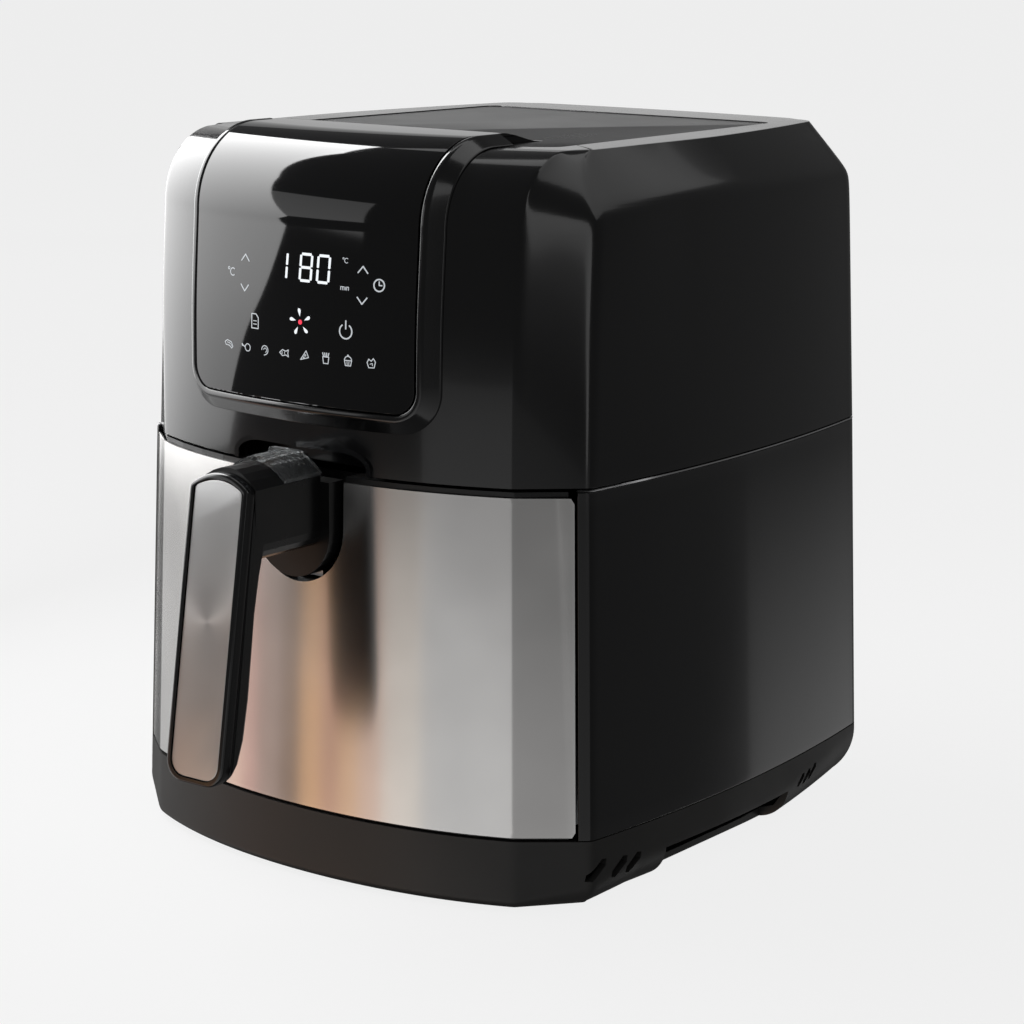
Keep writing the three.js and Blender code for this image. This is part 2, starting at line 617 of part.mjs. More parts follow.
function releaseButton() {
  const [y0, y1] = BUTTON.y;
  const top = endways(archTop(BUTTON.half, BUTTON.edge, BUTTON.top, BUTTON.shoulder), y0, y1);
  const stem = box(-2.2, 2.2, -148.6, -145.4, LEVER.top + GAP, BUTTON.shoulder + 1);
  return union(top, stem);
}

// A bell crank on a cross pin: the button pushes its front arm down, and its tooth leaves
// the catch on the pan.
function latchLever() {
  const { half, pinY, pinZ, top } = LEVER;
  const outline = [
    flat(-149, top - 2.8), flat(pinY - 1, pinZ - 3.2), flat(pinY + 2.6, pinZ - 2.2), flat(pinY + 3.4, 169.6),
    flat(-125.4, 169.6), flat(-125.4, 171.4), flat(pinY + 3.4, 172.6), flat(pinY, 172.6), flat(pinY - 2, top),
    flat(-149, top),
  ];
  return cut(sideways(outline, -half, half), alongX(pinY, pinZ, LEVER.pin + GAP, -10, 10));
}

function latchPin() {
  return alongX(LEVER.pinY, LEVER.pinZ, LEVER.pin, -9, 9);
}

function alongX(y, z, radius, x0, x1, sides = 14) {
  const geometry = new THREE.CylinderGeometry(radius, radius, x1 - x0, sides).rotateZ(Math.PI / 2);
  return solid(geometry.translate((x0 + x1) / 2, y, z));
}

function buttonSpring() {
  class Helix extends THREE.Curve {
    getPoint(t) {
      const a = t * 2 * Math.PI * 5;
      return space(3 * Math.cos(a), -153.4 + 3 * Math.sin(a), mix(160.2, 177, t));
    }
  }
  const section = new THREE.Shape(arc(0, 0, 0.5, 0.5, 0, 1.6 * Math.PI, 4));
  const options = { steps: 45, extrudePath: new Helix(), bevelEnabled: false };
  return solid(new THREE.ExtrudeGeometry(section, options));
}

// ---------------------------------------------------------------- pan, basket and bay
function tub({ half, y, floor, rim, corner, wall }, narrow = 0.97) {
  const middle = (y[0] + y[1]) / 2;
  const outline = roundedRectangle(-half, half, ...y, corner);
  const place = (z, scale) => (p) => space(p.x * scale, middle + (p.y - middle) * scale, z);
  const body = (section, z0, z1) => {
    return carry(section, [place(z0, narrow), place(mix(z0, z1, 0.12), 0.995), place(z1, 1)]);
  };
  return cut(body(outline, floor, rim), body(inset(outline, wall), floor + wall, rim + 0.4));
}

function pan() {
  const lipOutline = roundedRectangle(-PAN.half - 3, PAN.half + 3, PAN.y[0], PAN.y[1] + 1.5, PAN.corner);
  const hole = inset(roundedRectangle(-PAN.half, PAN.half, ...PAN.y, PAN.corner), 0.8);
  const lip = cut(upward(lipOutline, PAN.rim - 2, PAN.rim), upward(hole, 0, 300));
  const front = box(-80, 80, PAN.y[0] - 0.3, PAN.y[0] + 1, 60, 120);
  return cut(union(tub(PAN), lip, front), notch(NOTCH.half, -80));
}

function latchCatch() {
  const tongue = box(-7, 7, -127.9, -126.3, 133, 175.5);
  const footPlate = box(-7, 7, -127.9, -112, 133, 134.6);
  return cut(union(tongue, footPlate), box(-4.6, 4.6, -130, -120, 168.6, 173.6));
}

function basket() {
  const shell = tub(BASKET, 0.96);
  const floorHole = roundedRectangle(-82, 82, BASKET.y[0] + 16, BASKET.y[1] - 16, 18);
  const slots = [-1, 1].flatMap((side) => range(7).map((i) => {
    const y = -66 + i * 22;
    return sideBox(side, 90, 105, y, y + 12, 62, 67);
  }));
  return cut(shell, upward(floorHole, 0, BASKET.floor + 10), ...slots);
}

function crisperTray() {
  const y = [BASKET.y[0] + 8, BASKET.y[1] - 8];
  const outline = new THREE.Shape(roundedRectangle(-90, 90, ...y, 17));
  for (const i of range(7)) {
    for (const j of range(4)) {
      const x = -72 + i * 24;
      const cy = 2 - 57 + j * 38;
      outline.holes.push(new THREE.Path(roundedRectangle(x - 3, x + 3, cy - 14, cy + 14, 1.6, 1).reverse()));
    }
  }
  const z = BASKET.floor + BASKET.wall + 0.4;
  return solid(new THREE.ExtrudeGeometry(outline, { depth: 2, bevelEnabled: false }).translate(0, 0, z));
}

function basketBracket() {
  const front = BOSS.back + GAP;
  const back = BASKET.y[0] - 1.2;
  const arms = [-13, 13].map((x) => box(x - 4, x + 4, front, back, 147, 152.5));
  const frontTab = box(-17, 17, front, front + 2.1, 142, 154.5);
  const rearTab = box(-17, 17, back - 2.2, back, 147, 163);
  const holes = [-12, 12].map((x) => alongY(x, 150, 1.8, -140, -115));
  return cut(union(...arms, frontTab, rearTab), ...holes);
}

function bracketScrew(x) {
  return alongY(x, 150, 1.2, BOSS.back - 8, BOSS.back + 3.5, 10);
}

function drawerBay() {
  const { half, front, back, floor, top, sheet } = BAY;
  const outer = box(-half, half, front, back, floor, top);
  const inner = box(-half + sheet, half - sheet, front - 5, back - sheet, floor + sheet, top + 5);
  const plungerHole = alongY(SWITCH.x, SWITCH.z, 3, back - 8, back + 5);
  return cut(outer, inner, plungerHole);
}

function drawerSwitch() {
  const y0 = BAY.back + GAP;
  const body = box(SWITCH.x - 8, SWITCH.x + 8, y0, y0 + 11, SWITCH.z - 9, SWITCH.z + 9);
  return cut(body, alongY(SWITCH.x, SWITCH.z, 2.3, y0 - 1, y0 + 8));
}

function switchPlunger() {
  const front = PAN.y[1] + 1.5 + GAP;
  return alongY(SWITCH.x, SWITCH.z, 1.9, front, BAY.back + GAP + 5.5);
}

// ---------------------------------------------------------------- hot-air system
function chamberHood() {
  const { half, corner, bottom, top, wall, narrow } = HOOD;
  const outline = roundedRectangle(-half, half, AXIS_Y - half, AXIS_Y + half, corner);
  const place = (z, scale) => (p) => space(p.x * scale, AXIS_Y + (p.y - AXIS_Y) * scale, z);
  const levels = [[bottom, 1], [mix(bottom, top, 0.7), 0.97], [top, narrow]];
  const outer = carry(outline, levels.map(([z, scale]) => place(z, scale)));
  const inner = carry(inset(outline, wall), levels.map(([z, scale]) => place(z - wall, scale)));
  const throat = post(0, AXIS_Y, top - 5, top + 5, SHAFT_R + 3);
  const leads = heaterLeads().map(([x, y]) => post(x, y, top - 5, top + 5, 5.5, 12));
  return cut(outer, inner, throat, ...leads, alongY(0, SENSOR.z, SENSOR.radius + 0.6, 90, 120));
}

// The element runs round the chamber and doubles back, so that both leads are side by side.
function heatingElement() {
  const { outer, inner, z, tube, start } = HEATER;
  const turn = (outer + inner) / 2;
  const end = 2 * Math.PI - start;
  const at = (radius, a) => space(radius * Math.cos(a), AXIS_Y + radius * Math.sin(a), z);
  const bend = steps(0, Math.PI, 6).slice(1, -1).map((a) => {
    const radius = turn + (outer - turn) * Math.cos(a);
    return at(radius, end + (outer - turn) * Math.sin(a) / turn);
  });
  const route = new THREE.CatmullRomCurve3([
    ...steps(start, end, 14).map((a) => at(outer, a)),
    ...bend,
    ...steps(end, start, 12).map((a) => at(inner, a)),
  ]);
  const section = new THREE.Shape(arc(0, 0, tube, tube, 0, 1.715 * Math.PI, 6));
  const options = { steps: 52, extrudePath: route, bevelEnabled: false };
  const coil = solid(new THREE.ExtrudeGeometry(section, options));
  const leads = heaterLeads().map(([x, y]) => post(x, y, z - 3, HOOD.top + 10, 3.6, 10));
  return union(coil, ...leads);
}

function heaterLeads() {
  return [HEATER.outer, HEATER.inner].map((radius) => {
    return [radius * Math.cos(HEATER.start), AXIS_Y + radius * Math.sin(HEATER.start)];
  });
}

function heaterGuard() {
  const outline = new THREE.Shape(roundedRectangle(-92, 92, AXIS_Y - 92, AXIS_Y + 92, 24));
  for (const radius of [20, 38, 56, 74]) {
    for (const quarter of range(4)) {
      const from = quarter * Math.PI / 2 + 4 / radius;
      const to = (quarter + 1) * Math.PI / 2 - 4 / radius;
      const outer = arc(0, AXIS_Y, radius + 5.5, radius + 5.5, from, to, 5);
      const inner = arc(0, AXIS_Y, radius - 5.5, radius - 5.5, to, from, 5);
      outline.holes.push(new THREE.Path([...outer, ...inner].reverse()));
    }
  }
  return solid(new THREE.ExtrudeGeometry(outline, { depth: 1.2, bevelEnabled: false }).translate(0, 0, 186));
}

function fan(hub, tip, blades, z0, z1, pitch) {
  const disc = turned([[SHAFT_R + GAP, z0], [tip, z0], [tip, z0 + 1.2], [hub, z0 + 1.2],
    [hub, z1], [SHAFT_R + GAP, z1], [SHAFT_R + GAP, z0]], 0, AXIS_Y, 36);
  const vanes = range(blades).map((i) => {
    const turn = i * 2 * Math.PI / blades;
    const geometry = new THREE.BoxGeometry(tip - hub - 1, 1.2, z1 - z0 - 0.8);
    geometry.translate((tip + hub) / 2, 0, (z0 + z1) / 2 + 0.4).rotateZ(turn);
    geometry.translate(-pitch * Math.sin(turn), pitch * Math.cos(turn), 0);
    return solid(geometry.translate(0, AXIS_Y, 0));
  });
  return union(disc, ...vanes);
}

function fanShaft() {
  return turned([[0, 207], [SHAFT_R, 207.6], [SHAFT_R, 289], [0, 289.6]], 0, AXIS_Y, 20);
}

function motorBracket() {
  const plate = box(-46, 46, AXIS_Y - 30, AXIS_Y + 30, 262, 264);
  const legs = [[-40, -24], [40, -24], [-40, 24], [40, 24]].map(([x, y]) => {
    return post(x * 1.02, AXIS_Y + y, HOOD.top + GAP, 263, 4, 12);
  });
  return cut(union(plate, ...legs), post(0, AXIS_Y, 250, 270, SHAFT_R + 3));
}

function motorBody() {
  const profile = [[SHAFT_R + GAP, 264.4], [27, 264.4], [27, 268], [31, 268], [31, 280], [27, 280],
    [27, 286], [10, 287.5], [SHAFT_R + GAP, 287.5], [SHAFT_R + GAP, 264.4]];
  return turned(profile, 0, AXIS_Y, 32);
}

function temperatureSensor() {
  const tube = alongY(0, SENSOR.z, SENSOR.radius, ...SENSOR.y, 12);
  const flange = alongY(0, SENSOR.z, 6, 110, 112.4);
  return union(tube, flange);
}

function thermalFuse() {
  const clip = box(48, 66, -12, -4, HOOD.top + GAP, HOOD.top + 1.4);
  const fuse = box(50, 64, -10.5, -5.5, HOOD.top + 1, HOOD.top + 6);
  return union(clip, fuse);
}

function powerBoard() {
  const board = box(-92, -90.4, -60, 50, 246, 300);
  const parts = [
    box(-90.6, -72, -50, -28, 250, 268),
    box(-90.6, -76, -20, -4, 252, 280),
    box(-90.6, -70, 6, 30, 256, 284),
    box(-90.6, -80, 36, 46, 250, 262),
  ];
  return union(board, ...parts);
}

// ---------------------------------------------------------------- assembly
const airFryer = new THREE.Group();
airFryer.position.set(0, FRAME_Y, FRAME_Z);

function add(name, shape, { color, roughness, metalness }) {
  const { numProp, vertProperties, triVerts } = shape.getMesh();
  const geometry = new THREE.BufferGeometry();
  geometry.setAttribute("position", new THREE.BufferAttribute(vertProperties, numProp));
  geometry.setIndex(new THREE.BufferAttribute(triVerts, 1));
  geometry.computeVertexNormals();
  const mesh = new THREE.Mesh(geometry, new THREE.MeshStandardMaterial({ color, roughness, metalness }));
  mesh.name = name;
  airFryer.add(mesh);
}

add("base_tray", baseTray(), BASE_GREY);
FOOT_PLACES.forEach(([x, y], i) => {
  add(`foot_${i + 1}`, foot(x, y), RUBBER);
  add(`foot_screw_${i + 1}`, footScrew(x, y), SCREW_STEEL);
});
add("lower_shell", lowerShell(), GLOSS_BLACK);
add("seam_trim", seamTrim(), ALUMINIUM);
add("upper_shell", upperShell(), GLOSS_BLACK);
add("rear_vent", rearVent(), SATIN_BLACK);
add("cord_gland", cordGland(), RUBBER);
add("control_panel", controlPanel(), PANEL_BLACK);
add("panel_bezel", panelBezel(), GLOSS_BLACK);
add("display_board", displayBoard(), BOARD_GREEN);
add("power_board", powerBoard(), BOARD_GREEN);
add("drawer_bay", drawerBay(), SHEET_STEEL);
add("drawer_switch", drawerSwitch(), WHITE_PLASTIC);
add("switch_plunger", switchPlunger(), WHITE_PLASTIC);
add("chamber_hood", chamberHood(), SHEET_STEEL);
add("heater_guard", heaterGuard(), SHEET_STEEL);
add("heating_element", heatingElement(), NONSTICK);
add("temperature_sensor", temperatureSensor(), SCREW_STEEL);
add("thermal_fuse", thermalFuse(), WHITE_PLASTIC);
add("motor_bracket", motorBracket(), SHEET_STEEL);
add("motor_body", motorBody(), COPPER);
add("fan_shaft", fanShaft(), SCREW_STEEL);
add("hot_air_fan", fan(14, 58, 10, 212, 228, 8), ALUMINIUM);
add("cooling_fan", fan(11, 40, 9, 247, 257, 5), WHITE_PLASTIC);
add("pan", pan(), NONSTICK);
add("drawer_front", drawerFront(), SATIN_BLACK);
add("steel_front", steelFront(), BRUSHED);
add("latch_catch", latchCatch(), SCREW_STEEL);
add("basket", basket(), NONSTICK);
add("crisper_tray", crisperTray(), NONSTICK);
add("basket_bracket", basketBracket(), SCREW_STEEL);
add("bracket_screw_1", bracketScrew(-12), SCREW_STEEL);
add("bracket_screw_2", bracketScrew(12), SCREW_STEEL);
add("handle_body", handleBody(), SATIN_BLACK);
add("handle_frame", handleFrame(), GLOSS_BLACK);
add("handle_insert", handleInsert(), INSERT_STEEL);
add("button_guard", buttonGuard(), CLEAR);
add("release_button", releaseButton(), SATIN_BLACK);
add("latch_lever", latchLever(), WHITE_PLASTIC);
add("latch_pin", latchPin(), SCREW_STEEL);
add("button_spring", buttonSpring(), SCREW_STEEL);

export default airFryer;
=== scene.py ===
import math

import bmesh
import bpy
import numpy as np
from mathutils import Matrix, Vector


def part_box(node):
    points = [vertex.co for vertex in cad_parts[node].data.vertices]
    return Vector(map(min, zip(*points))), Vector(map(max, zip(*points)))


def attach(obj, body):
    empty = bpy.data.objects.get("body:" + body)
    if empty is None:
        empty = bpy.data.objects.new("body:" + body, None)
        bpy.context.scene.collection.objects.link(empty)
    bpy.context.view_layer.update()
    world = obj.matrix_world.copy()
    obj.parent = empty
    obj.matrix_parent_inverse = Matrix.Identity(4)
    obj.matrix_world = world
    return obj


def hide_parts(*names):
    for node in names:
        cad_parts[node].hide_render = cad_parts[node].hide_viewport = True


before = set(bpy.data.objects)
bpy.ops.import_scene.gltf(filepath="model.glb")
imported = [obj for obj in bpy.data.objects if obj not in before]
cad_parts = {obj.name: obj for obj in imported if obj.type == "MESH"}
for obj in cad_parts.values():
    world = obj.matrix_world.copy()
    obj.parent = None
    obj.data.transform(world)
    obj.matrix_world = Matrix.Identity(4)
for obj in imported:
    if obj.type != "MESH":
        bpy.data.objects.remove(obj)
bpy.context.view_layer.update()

# ---------------------------------------------------------------- the housing's own frame, in mm
FRONT_Y = -135.0
SHIFT_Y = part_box("upper_shell")[0].y * 1000 - FRONT_Y
SHIFT_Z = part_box("base_tray")[0].z * 1000 + 0.3
CREASE_X = 100.2
SIDE_FRONT = (125.0, -93.9)
SIDE_BULGE = 7.2
BACK_CORNER = (109.2, 120.8)
BACK_CORNER_R = 12.0
BACK_BOW = 7.5
WALL = 3.0
BASE_Z, BASE_TOP = -0.3, 29.7
SEAM = 180.7
CHAMFER_Z = 296.7
CHAMFER_SOFT = 0.13
TOP = 319.3
LEAN_Z, LEAN = 247.0, 3.0
ROLL_Z = 287.0
ROLL_R = TOP - ROLL_Z
DRAWER_EDGE_Y = -97.5
PANEL = {"half": 61.7, "bottom": 210.5, "corner": 10.0, "proud": 4.7, "under": 1.0}
BEZEL = {"inner": 62.4, "bottom": 209.8, "end": -80.0}
PLATE_Z = 318.9
RIDGE_Y, GLASS_END_Y = -75.0, -44.0
STEEL = {"edge_x": 121.4, "bottom": 31.3, "top": 177.8, "corner": 2.2, "thick": 0.9}


def row(points):
    """Points in the housing's frame, in mm, as points of the row frame, in metres."""
    out = np.array(points, float)
    out[..., 1] += SHIFT_Y
    out[..., 2] += SHIFT_Z
    return out / 1000


def clamp(v):
    return np.clip(v, 0, 1)


def mix(a, b, t):
    return a + (b - a) * t


def front_bow(x):
    t = np.abs(x) / CREASE_X
    return 17.8 * t ** 2 + 3.14 * t ** 4


def lean(z):
    """How far the front leans back at a height, with a soft start."""
    def ramp(d):
        return 0.5 * (d + np.sqrt(d ** 2 + 16.0 ** 2))
    return LEAN * np.minimum(1, ramp(z - LEAN_Z) / ramp(ROLL_Z - LEAN_Z))


def roll(z):
    over = np.clip(z - ROLL_Z, 0, ROLL_R)
    return lean(z) + ROLL_R - np.sqrt(ROLL_R ** 2 - over ** 2)


def resample(points, step):
    """An open polyline resampled at about equal steps of length."""
    points = np.array(points, float)
    lengths = np.r_[0, np.cumsum(np.linalg.norm(np.diff(points, axis=0), axis=1))]
    count = max(2, int(lengths[-1] / step) + 1)
    at = np.linspace(0, lengths[-1], count)
    return np.stack([np.interp(at, lengths, points[:, k]) for k in range(points.shape[1])], 1)


def blur(points, sigma, closed):
    """Points smoothed along their order; sigma counts points."""
    reach = int(3 * sigma) + 1
    weights = np.exp(-0.5 * (np.arange(-reach, reach + 1) / sigma) ** 2)
    weights /= weights.sum()
    if closed:
        padded = np.concatenate([points[-reach:], points, points[:reach]])
    else:
        head = 2 * points[0] - points[1:reach + 1][::-1]
        tail = 2 * points[-1] - points[-reach - 1:-1][::-1]
        padded = np.concatenate([head, points, tail])
    flat = padded.reshape(len(padded), -1)
    out = np.stack([np.convolve(flat[:, k], weights, "valid") for k in range(flat.shape[1])], 1)
    return out.reshape((len(points),) + points.shape[1:])


def plan_outline(step=1.2, soft=1.6):
    """The housing's outline at the seam, anticlockwise from the middle of the front, with soft creases."""
    x = np.linspace(0, CREASE_X, 60)
    front = np.stack([x, FRONT_Y + front_bow(x)], 1)
    s = np.linspace(0, 1, 60)
    side_end = BACK_CORNER[0] + BACK_CORNER_R
    side = np.stack([mix(SIDE_FRONT[0], side_end, s) + 4 * SIDE_BULGE * s * (1 - s),
                     mix(SIDE_FRONT[1], BACK_CORNER[1], s)], 1)
    a = np.linspace(0, math.pi / 2, 20)[1:]
    corner = np.array(BACK_CORNER) + BACK_CORNER_R * np.stack([np.cos(a), np.sin(a)], 1)
    t = np.linspace(1, 0, 40)[1:]
    back = np.stack([BACK_CORNER[0] * t, BACK_CORNER[1] + BACK_CORNER_R + BACK_BOW * (1 - t * t)], 1)
    right = resample(np.concatenate([front, side, corner, back]), step)
    left = right[1:-1][::-1] * [-1, 1]
    return blur(np.concatenate([right, left]), soft, True)


PLAN = plan_outline()


def normals_2d(outline, closed=True):
    if closed:
        along = np.roll(outline, -1, 0) - np.roll(outline, 1, 0)
    else:
        along = np.gradient(outline, axis=0)
    out = np.stack([along[:, 1], -along[:, 0]], 1)
    return out / np.linalg.norm(out, axis=1)[:, None]


def inset(outline, distance, closed=True):
    return outline - normals_2d(outline, closed) * np.reshape(distance, (-1, 1))


def drafted(outline, z):
    """Where the seam outline lies at another height of the housing."""
    x, y = outline[:, 0], outline[:, 1]
    if z < SEAM:
        under = SEAM - z
        return np.stack([x * (1 + 2.57e-4 * under), y * (1 + 1.8e-4 * under)], 1)
    rise = clamp((z - SEAM) / (CHAMFER_Z - SEAM))
    rear = 1 + 0.3 * clamp((y - 20) / 100)
    begin = np.where(y < 0, CREASE_X, BACK_CORNER[0] * 2 / 3)
    full = np.where(y < 0, SIDE_FRONT[0], BACK_CORNER[0])
    side = clamp((np.abs(x) - begin) / (full - begin))
    forward = clamp((-y - 20) / 74)
    corner = side * forward ** 2 * (3 - 2 * forward)
    chamfer_z = CHAMFER_Z - 4.7 * corner
    along = (z - chamfer_z) / (TOP - chamfer_z)
    chamfer = 17.6 * rear * np.minimum(1, 0.5 * (along + np.sqrt(along ** 2 + CHAMFER_SOFT ** 2)))
    inwards = side * (5.8 * rise + chamfer) + corner * (0.8 - 3.8 * rise)
    back = corner * (1.7 + 4.9 * rise)
    ahead = clamp((-y - 70) / 46)
    return np.stack([x - np.sign(x) * inwards, y + back + roll(z) * ahead ** 2 * (3 - 2 * ahead)], 1)


def on_front(x, run, height):
    """A point on the upper housing's front: across, run measured up the front and back over the roll."""
    x, run, height = np.broadcast_arrays(*(np.asarray(v, float) for v in (x, run, height)))
    y = FRONT_Y + front_bow(x)
    t = clamp((run - LEAN_Z) / (RUN_ROLL - LEAN_Z))
    a = clamp((run - RUN_ROLL) / (RUN_TOP - RUN_ROLL)) * math.pi / 2
    rolled = run > RUN_ROLL
    radius = ROLL_R + height
    straight = np.where(run < LEAN_Z, run, mix(LEAN_Z, ROLL_Z, t))
    py = np.where(rolled, y + LEAN + ROLL_R - radius * np.cos(a), y + lean(straight) - height)
    pz = np.where(rolled, ROLL_Z + radius * np.sin(a), straight)
    past = np.maximum(0, run - RUN_TOP)
    return np.stack([x, py + past, pz], -1)


RUN_ROLL = LEAN_Z + math.hypot(ROLL_Z - LEAN_Z, LEAN)
RUN_TOP = RUN_ROLL + ROLL_R * math.pi / 2


# ---------------------------------------------------------------- meshes
def make(name, verts, faces, sharp=35):
    mesh = bpy.data.meshes.new(name)
    mesh.from_pydata([tuple(v) for v in verts], [], faces)
    mesh.validate()
    mesh.update()
    obj = bpy.data.objects.new(name, mesh)
    bpy.context.scene.collection.objects.link(obj)
    smooth(obj, sharp)
    return obj


def smooth(obj, sharp=35):
    mesh = obj.data
    mesh.shade_smooth()
    mesh.set_sharp_from_angle(angle=math.radians(sharp))


def grid_faces(rows, cols, closed=False, offset=0, flip=False):
    faces = []
    for i in range(rows - 1):
        for j in range(cols if closed else cols - 1):
            k = (j + 1) % cols
            here, above = offset + i * cols, offset + (i + 1) * cols
            quad = (here + j, here + k, above + k, above + j)
            faces.append(quad[::-1] if flip else quad)
    return faces


def closed_loft(name, rings, sharp=35):
    """A solid through closed rings of equal length, bottom to top, with flat ends."""
    rings = np.array(rings)
    count, cols = rings.shape[:2]
    faces = grid_faces(count, cols, True)
    faces.append(tuple(range(cols))[::-1])
    faces.append(tuple((count - 1) * cols + j for j in range(cols)))
    return make(name, row(rings).reshape(-1, 3), faces, sharp)


def slab(name, outer, inner, sharp=35):
    """A closed sheet between two open grids of the same size; outer faces out."""
    outer, inner = np.array(outer), np.array(inner)
    rows, cols = outer.shape[:2]
    size = rows * cols
    faces = grid_faces(rows, cols) + grid_faces(rows, cols, offset=size, flip=True)
    rim = [(0, j) for j in range(cols)] + [(i, cols - 1) for i in range(1, rows)]
    rim += [(rows - 1, j) for j in range(cols - 2, -1, -1)] + [(i, 0) for i in range(rows - 2, 0, -1)]
    ids = [i * cols + j for i, j in rim]
    for a, b in zip(ids, ids[1:] + ids[:1]):
        faces.append((b, a, a + size, b + size))
    return make(name, row(np.concatenate([outer.reshape(-1, 3), inner.reshape(-1, 3)])), faces, sharp)


def prism(name, outline, place, near, far, sharp=35):
    """An outline of (a, b) carried between two positions: place((a, b) array, at) gives points."""
    rings = [place(np.array(outline, float), at) for at in (near, far)]
    return closed_loft(name, rings, sharp)


def carve(obj, cutters, sharp=35):
    """Cuts the cutters out of obj, and removes them."""
    for cutter in cutters:
        fix_normals(cutter)
    fix_normals(obj)
    for cutter in cutters:
        modifier = obj.modifiers.new("cut", "BOOLEAN")
        modifier.object = cutter
        modifier.operation = "DIFFERENCE"
        modifier.solver = "EXACT"
    apply_modifiers(obj)
    for cutter in cutters:
        bpy.data.objects.remove(cutter)
    smooth(obj, sharp)
    return obj


def fix_normals(obj):
    mesh = bmesh.new()
    mesh.from_mesh(obj.data)
    bmesh.ops.recalc_face_normals(mesh, faces=mesh.faces)
    mesh.to_mesh(obj.data)
    mesh.free()


def apply_modifiers(obj):
    graph = bpy.context.evaluated_depsgraph_get()
    mesh = bpy.data.meshes.new_from_object(obj.evaluated_get(graph))
    obj.modifiers.clear()
    obj.data = mesh


def bevelled(obj, width, angle=40, segments=2):
    """Rounds the sharp edges of a piece by width mm."""
    modifier = obj.modifiers.new("edge", "BEVEL")
    modifier.width = width / 1000
    modifier.segments = segments
    modifier.limit_method = "ANGLE"
    modifier.angle_limit = math.radians(angle)
    modifier.harden_normals = True
    return obj


def at_height(outline, z):
    """(x, y) pairs at a height z."""
    return np.c_[outline, np.full(len(outline), z)]


def box_piece(name, x, y, z):
    outline = [(x[0], y[0]), (x[1], y[0]), (x[1], y[1]), (x[0], y[1])]
    return prism(name, outline, at_height, z[0], z[1])


def sideways(p, x):
    """(y, z) pairs at a place x."""
    return np.c_[np.full(len(p), x), p]


def endways(p, y):
    """(x, z) pairs at a depth y, ordered so that a prism runs front to back."""
    return np.stack([p[:, 0], np.full(len(p), y), p[:, 1]], 1)


def arc(cx, cy, rx, ry, a0, a1, count):
    a = np.linspace(a0, a1, count)
    return [(cx + rx * math.cos(t), cy + ry * math.sin(t)) for t in a]


def u_shape(half, centre, top):
    return arc(0, centre, half, half, math.pi, 2 * math.pi, 48) + [(half, top), (-half, top)]


# ---------------------------------------------------------------- materials
def material(name, color, roughness, metallic=0.0, spread=0.06, grain=0.0, grain_scale=900.0, tint=None,
             wear=0.12, brushed=(1, 1, 1), **sockets):
    """A procedural finish: varied roughness and colour, a fine grain in the bump, and slightly worn edges."""
    made = bpy.data.materials.new(name)
    made.use_nodes = True
    nodes, links = made.node_tree.nodes, made.node_tree.links
    shader = nodes["Principled BSDF"]
    coords = nodes.new("ShaderNodeTexCoord")

    def noise(scale, detail, stretch=(1, 1, 1)):
        mapping = nodes.new("ShaderNodeMapping")
        mapping.inputs["Scale"].default_value = stretch
        links.new(coords.outputs["Object"], mapping.inputs["Vector"])
        made_noise = nodes.new("ShaderNodeTexNoise")
        made_noise.inputs["Scale"].default_value = scale
        made_noise.inputs["Detail"].default_value = detail
        links.new(mapping.outputs["Vector"], made_noise.inputs["Vector"])
        return made_noise.outputs["Fac"]

    def ranged(source, low, high, to_low, to_high):
        node = nodes.new("ShaderNodeMapRange")
        node.inputs["From Min"].default_value = low
        node.inputs["From Max"].default_value = high
        node.inputs["To Min"].default_value = to_low
        node.inputs["To Max"].default_value = to_high
        links.new(source, node.inputs["Value"])
        return node.outputs["Result"]

    smudge = noise(14.0, 4.0)
    dull = ranged(smudge, 0.3, 0.7, max(0.02, roughness - spread), roughness + spread)
    links.new(dull, shader.inputs["Roughness"])

    def blend(amount, first, second):
        node = nodes.new("ShaderNodeMix")
        node.data_type = "RGBA"
        links.new(amount, node.inputs["Factor"])
        for socket, value in (("A", first), ("B", second)):
            target = [s for s in node.inputs if s.name == socket and s.type == "RGBA"][0]
            if isinstance(value, (tuple, list)):
                target.default_value = (*value[:3], 1)
            else:
                links.new(value, target)
        return [s for s in node.outputs if s.type == "RGBA"][0]

    other = tint or tuple(min(1, c * 1.25 + 0.002) for c in color[:3])
    body = blend(ranged(noise(9.0, 3.0), 0.35, 0.65, 0, 1), color, other)
    geometry = nodes.new("ShaderNodeNewGeometry")
    edge = ranged(geometry.outputs["Pointiness"], 0.52, 0.6, 0, wear)
    worn = tuple(min(1, c * 1.8 + 0.05) for c in color[:3])
    links.new(blend(edge, body, worn), shader.inputs["Base Color"])
    shader.inputs["Metallic"].default_value = metallic
    bump = nodes.new("ShaderNodeBump")
    bump.inputs["Strength"].default_value = 0.25 if grain else 0.03
    bump.inputs["Distance"].default_value = (grain or 0.02) / 1000
    links.new(noise(grain_scale, 3.0, brushed), bump.inputs["Height"])
    links.new(bump.outputs["Normal"], shader.inputs["Normal"])
    for socket, value in sockets.items():
        shader.inputs[socket.replace("_", " ")].default_value = value
    return made


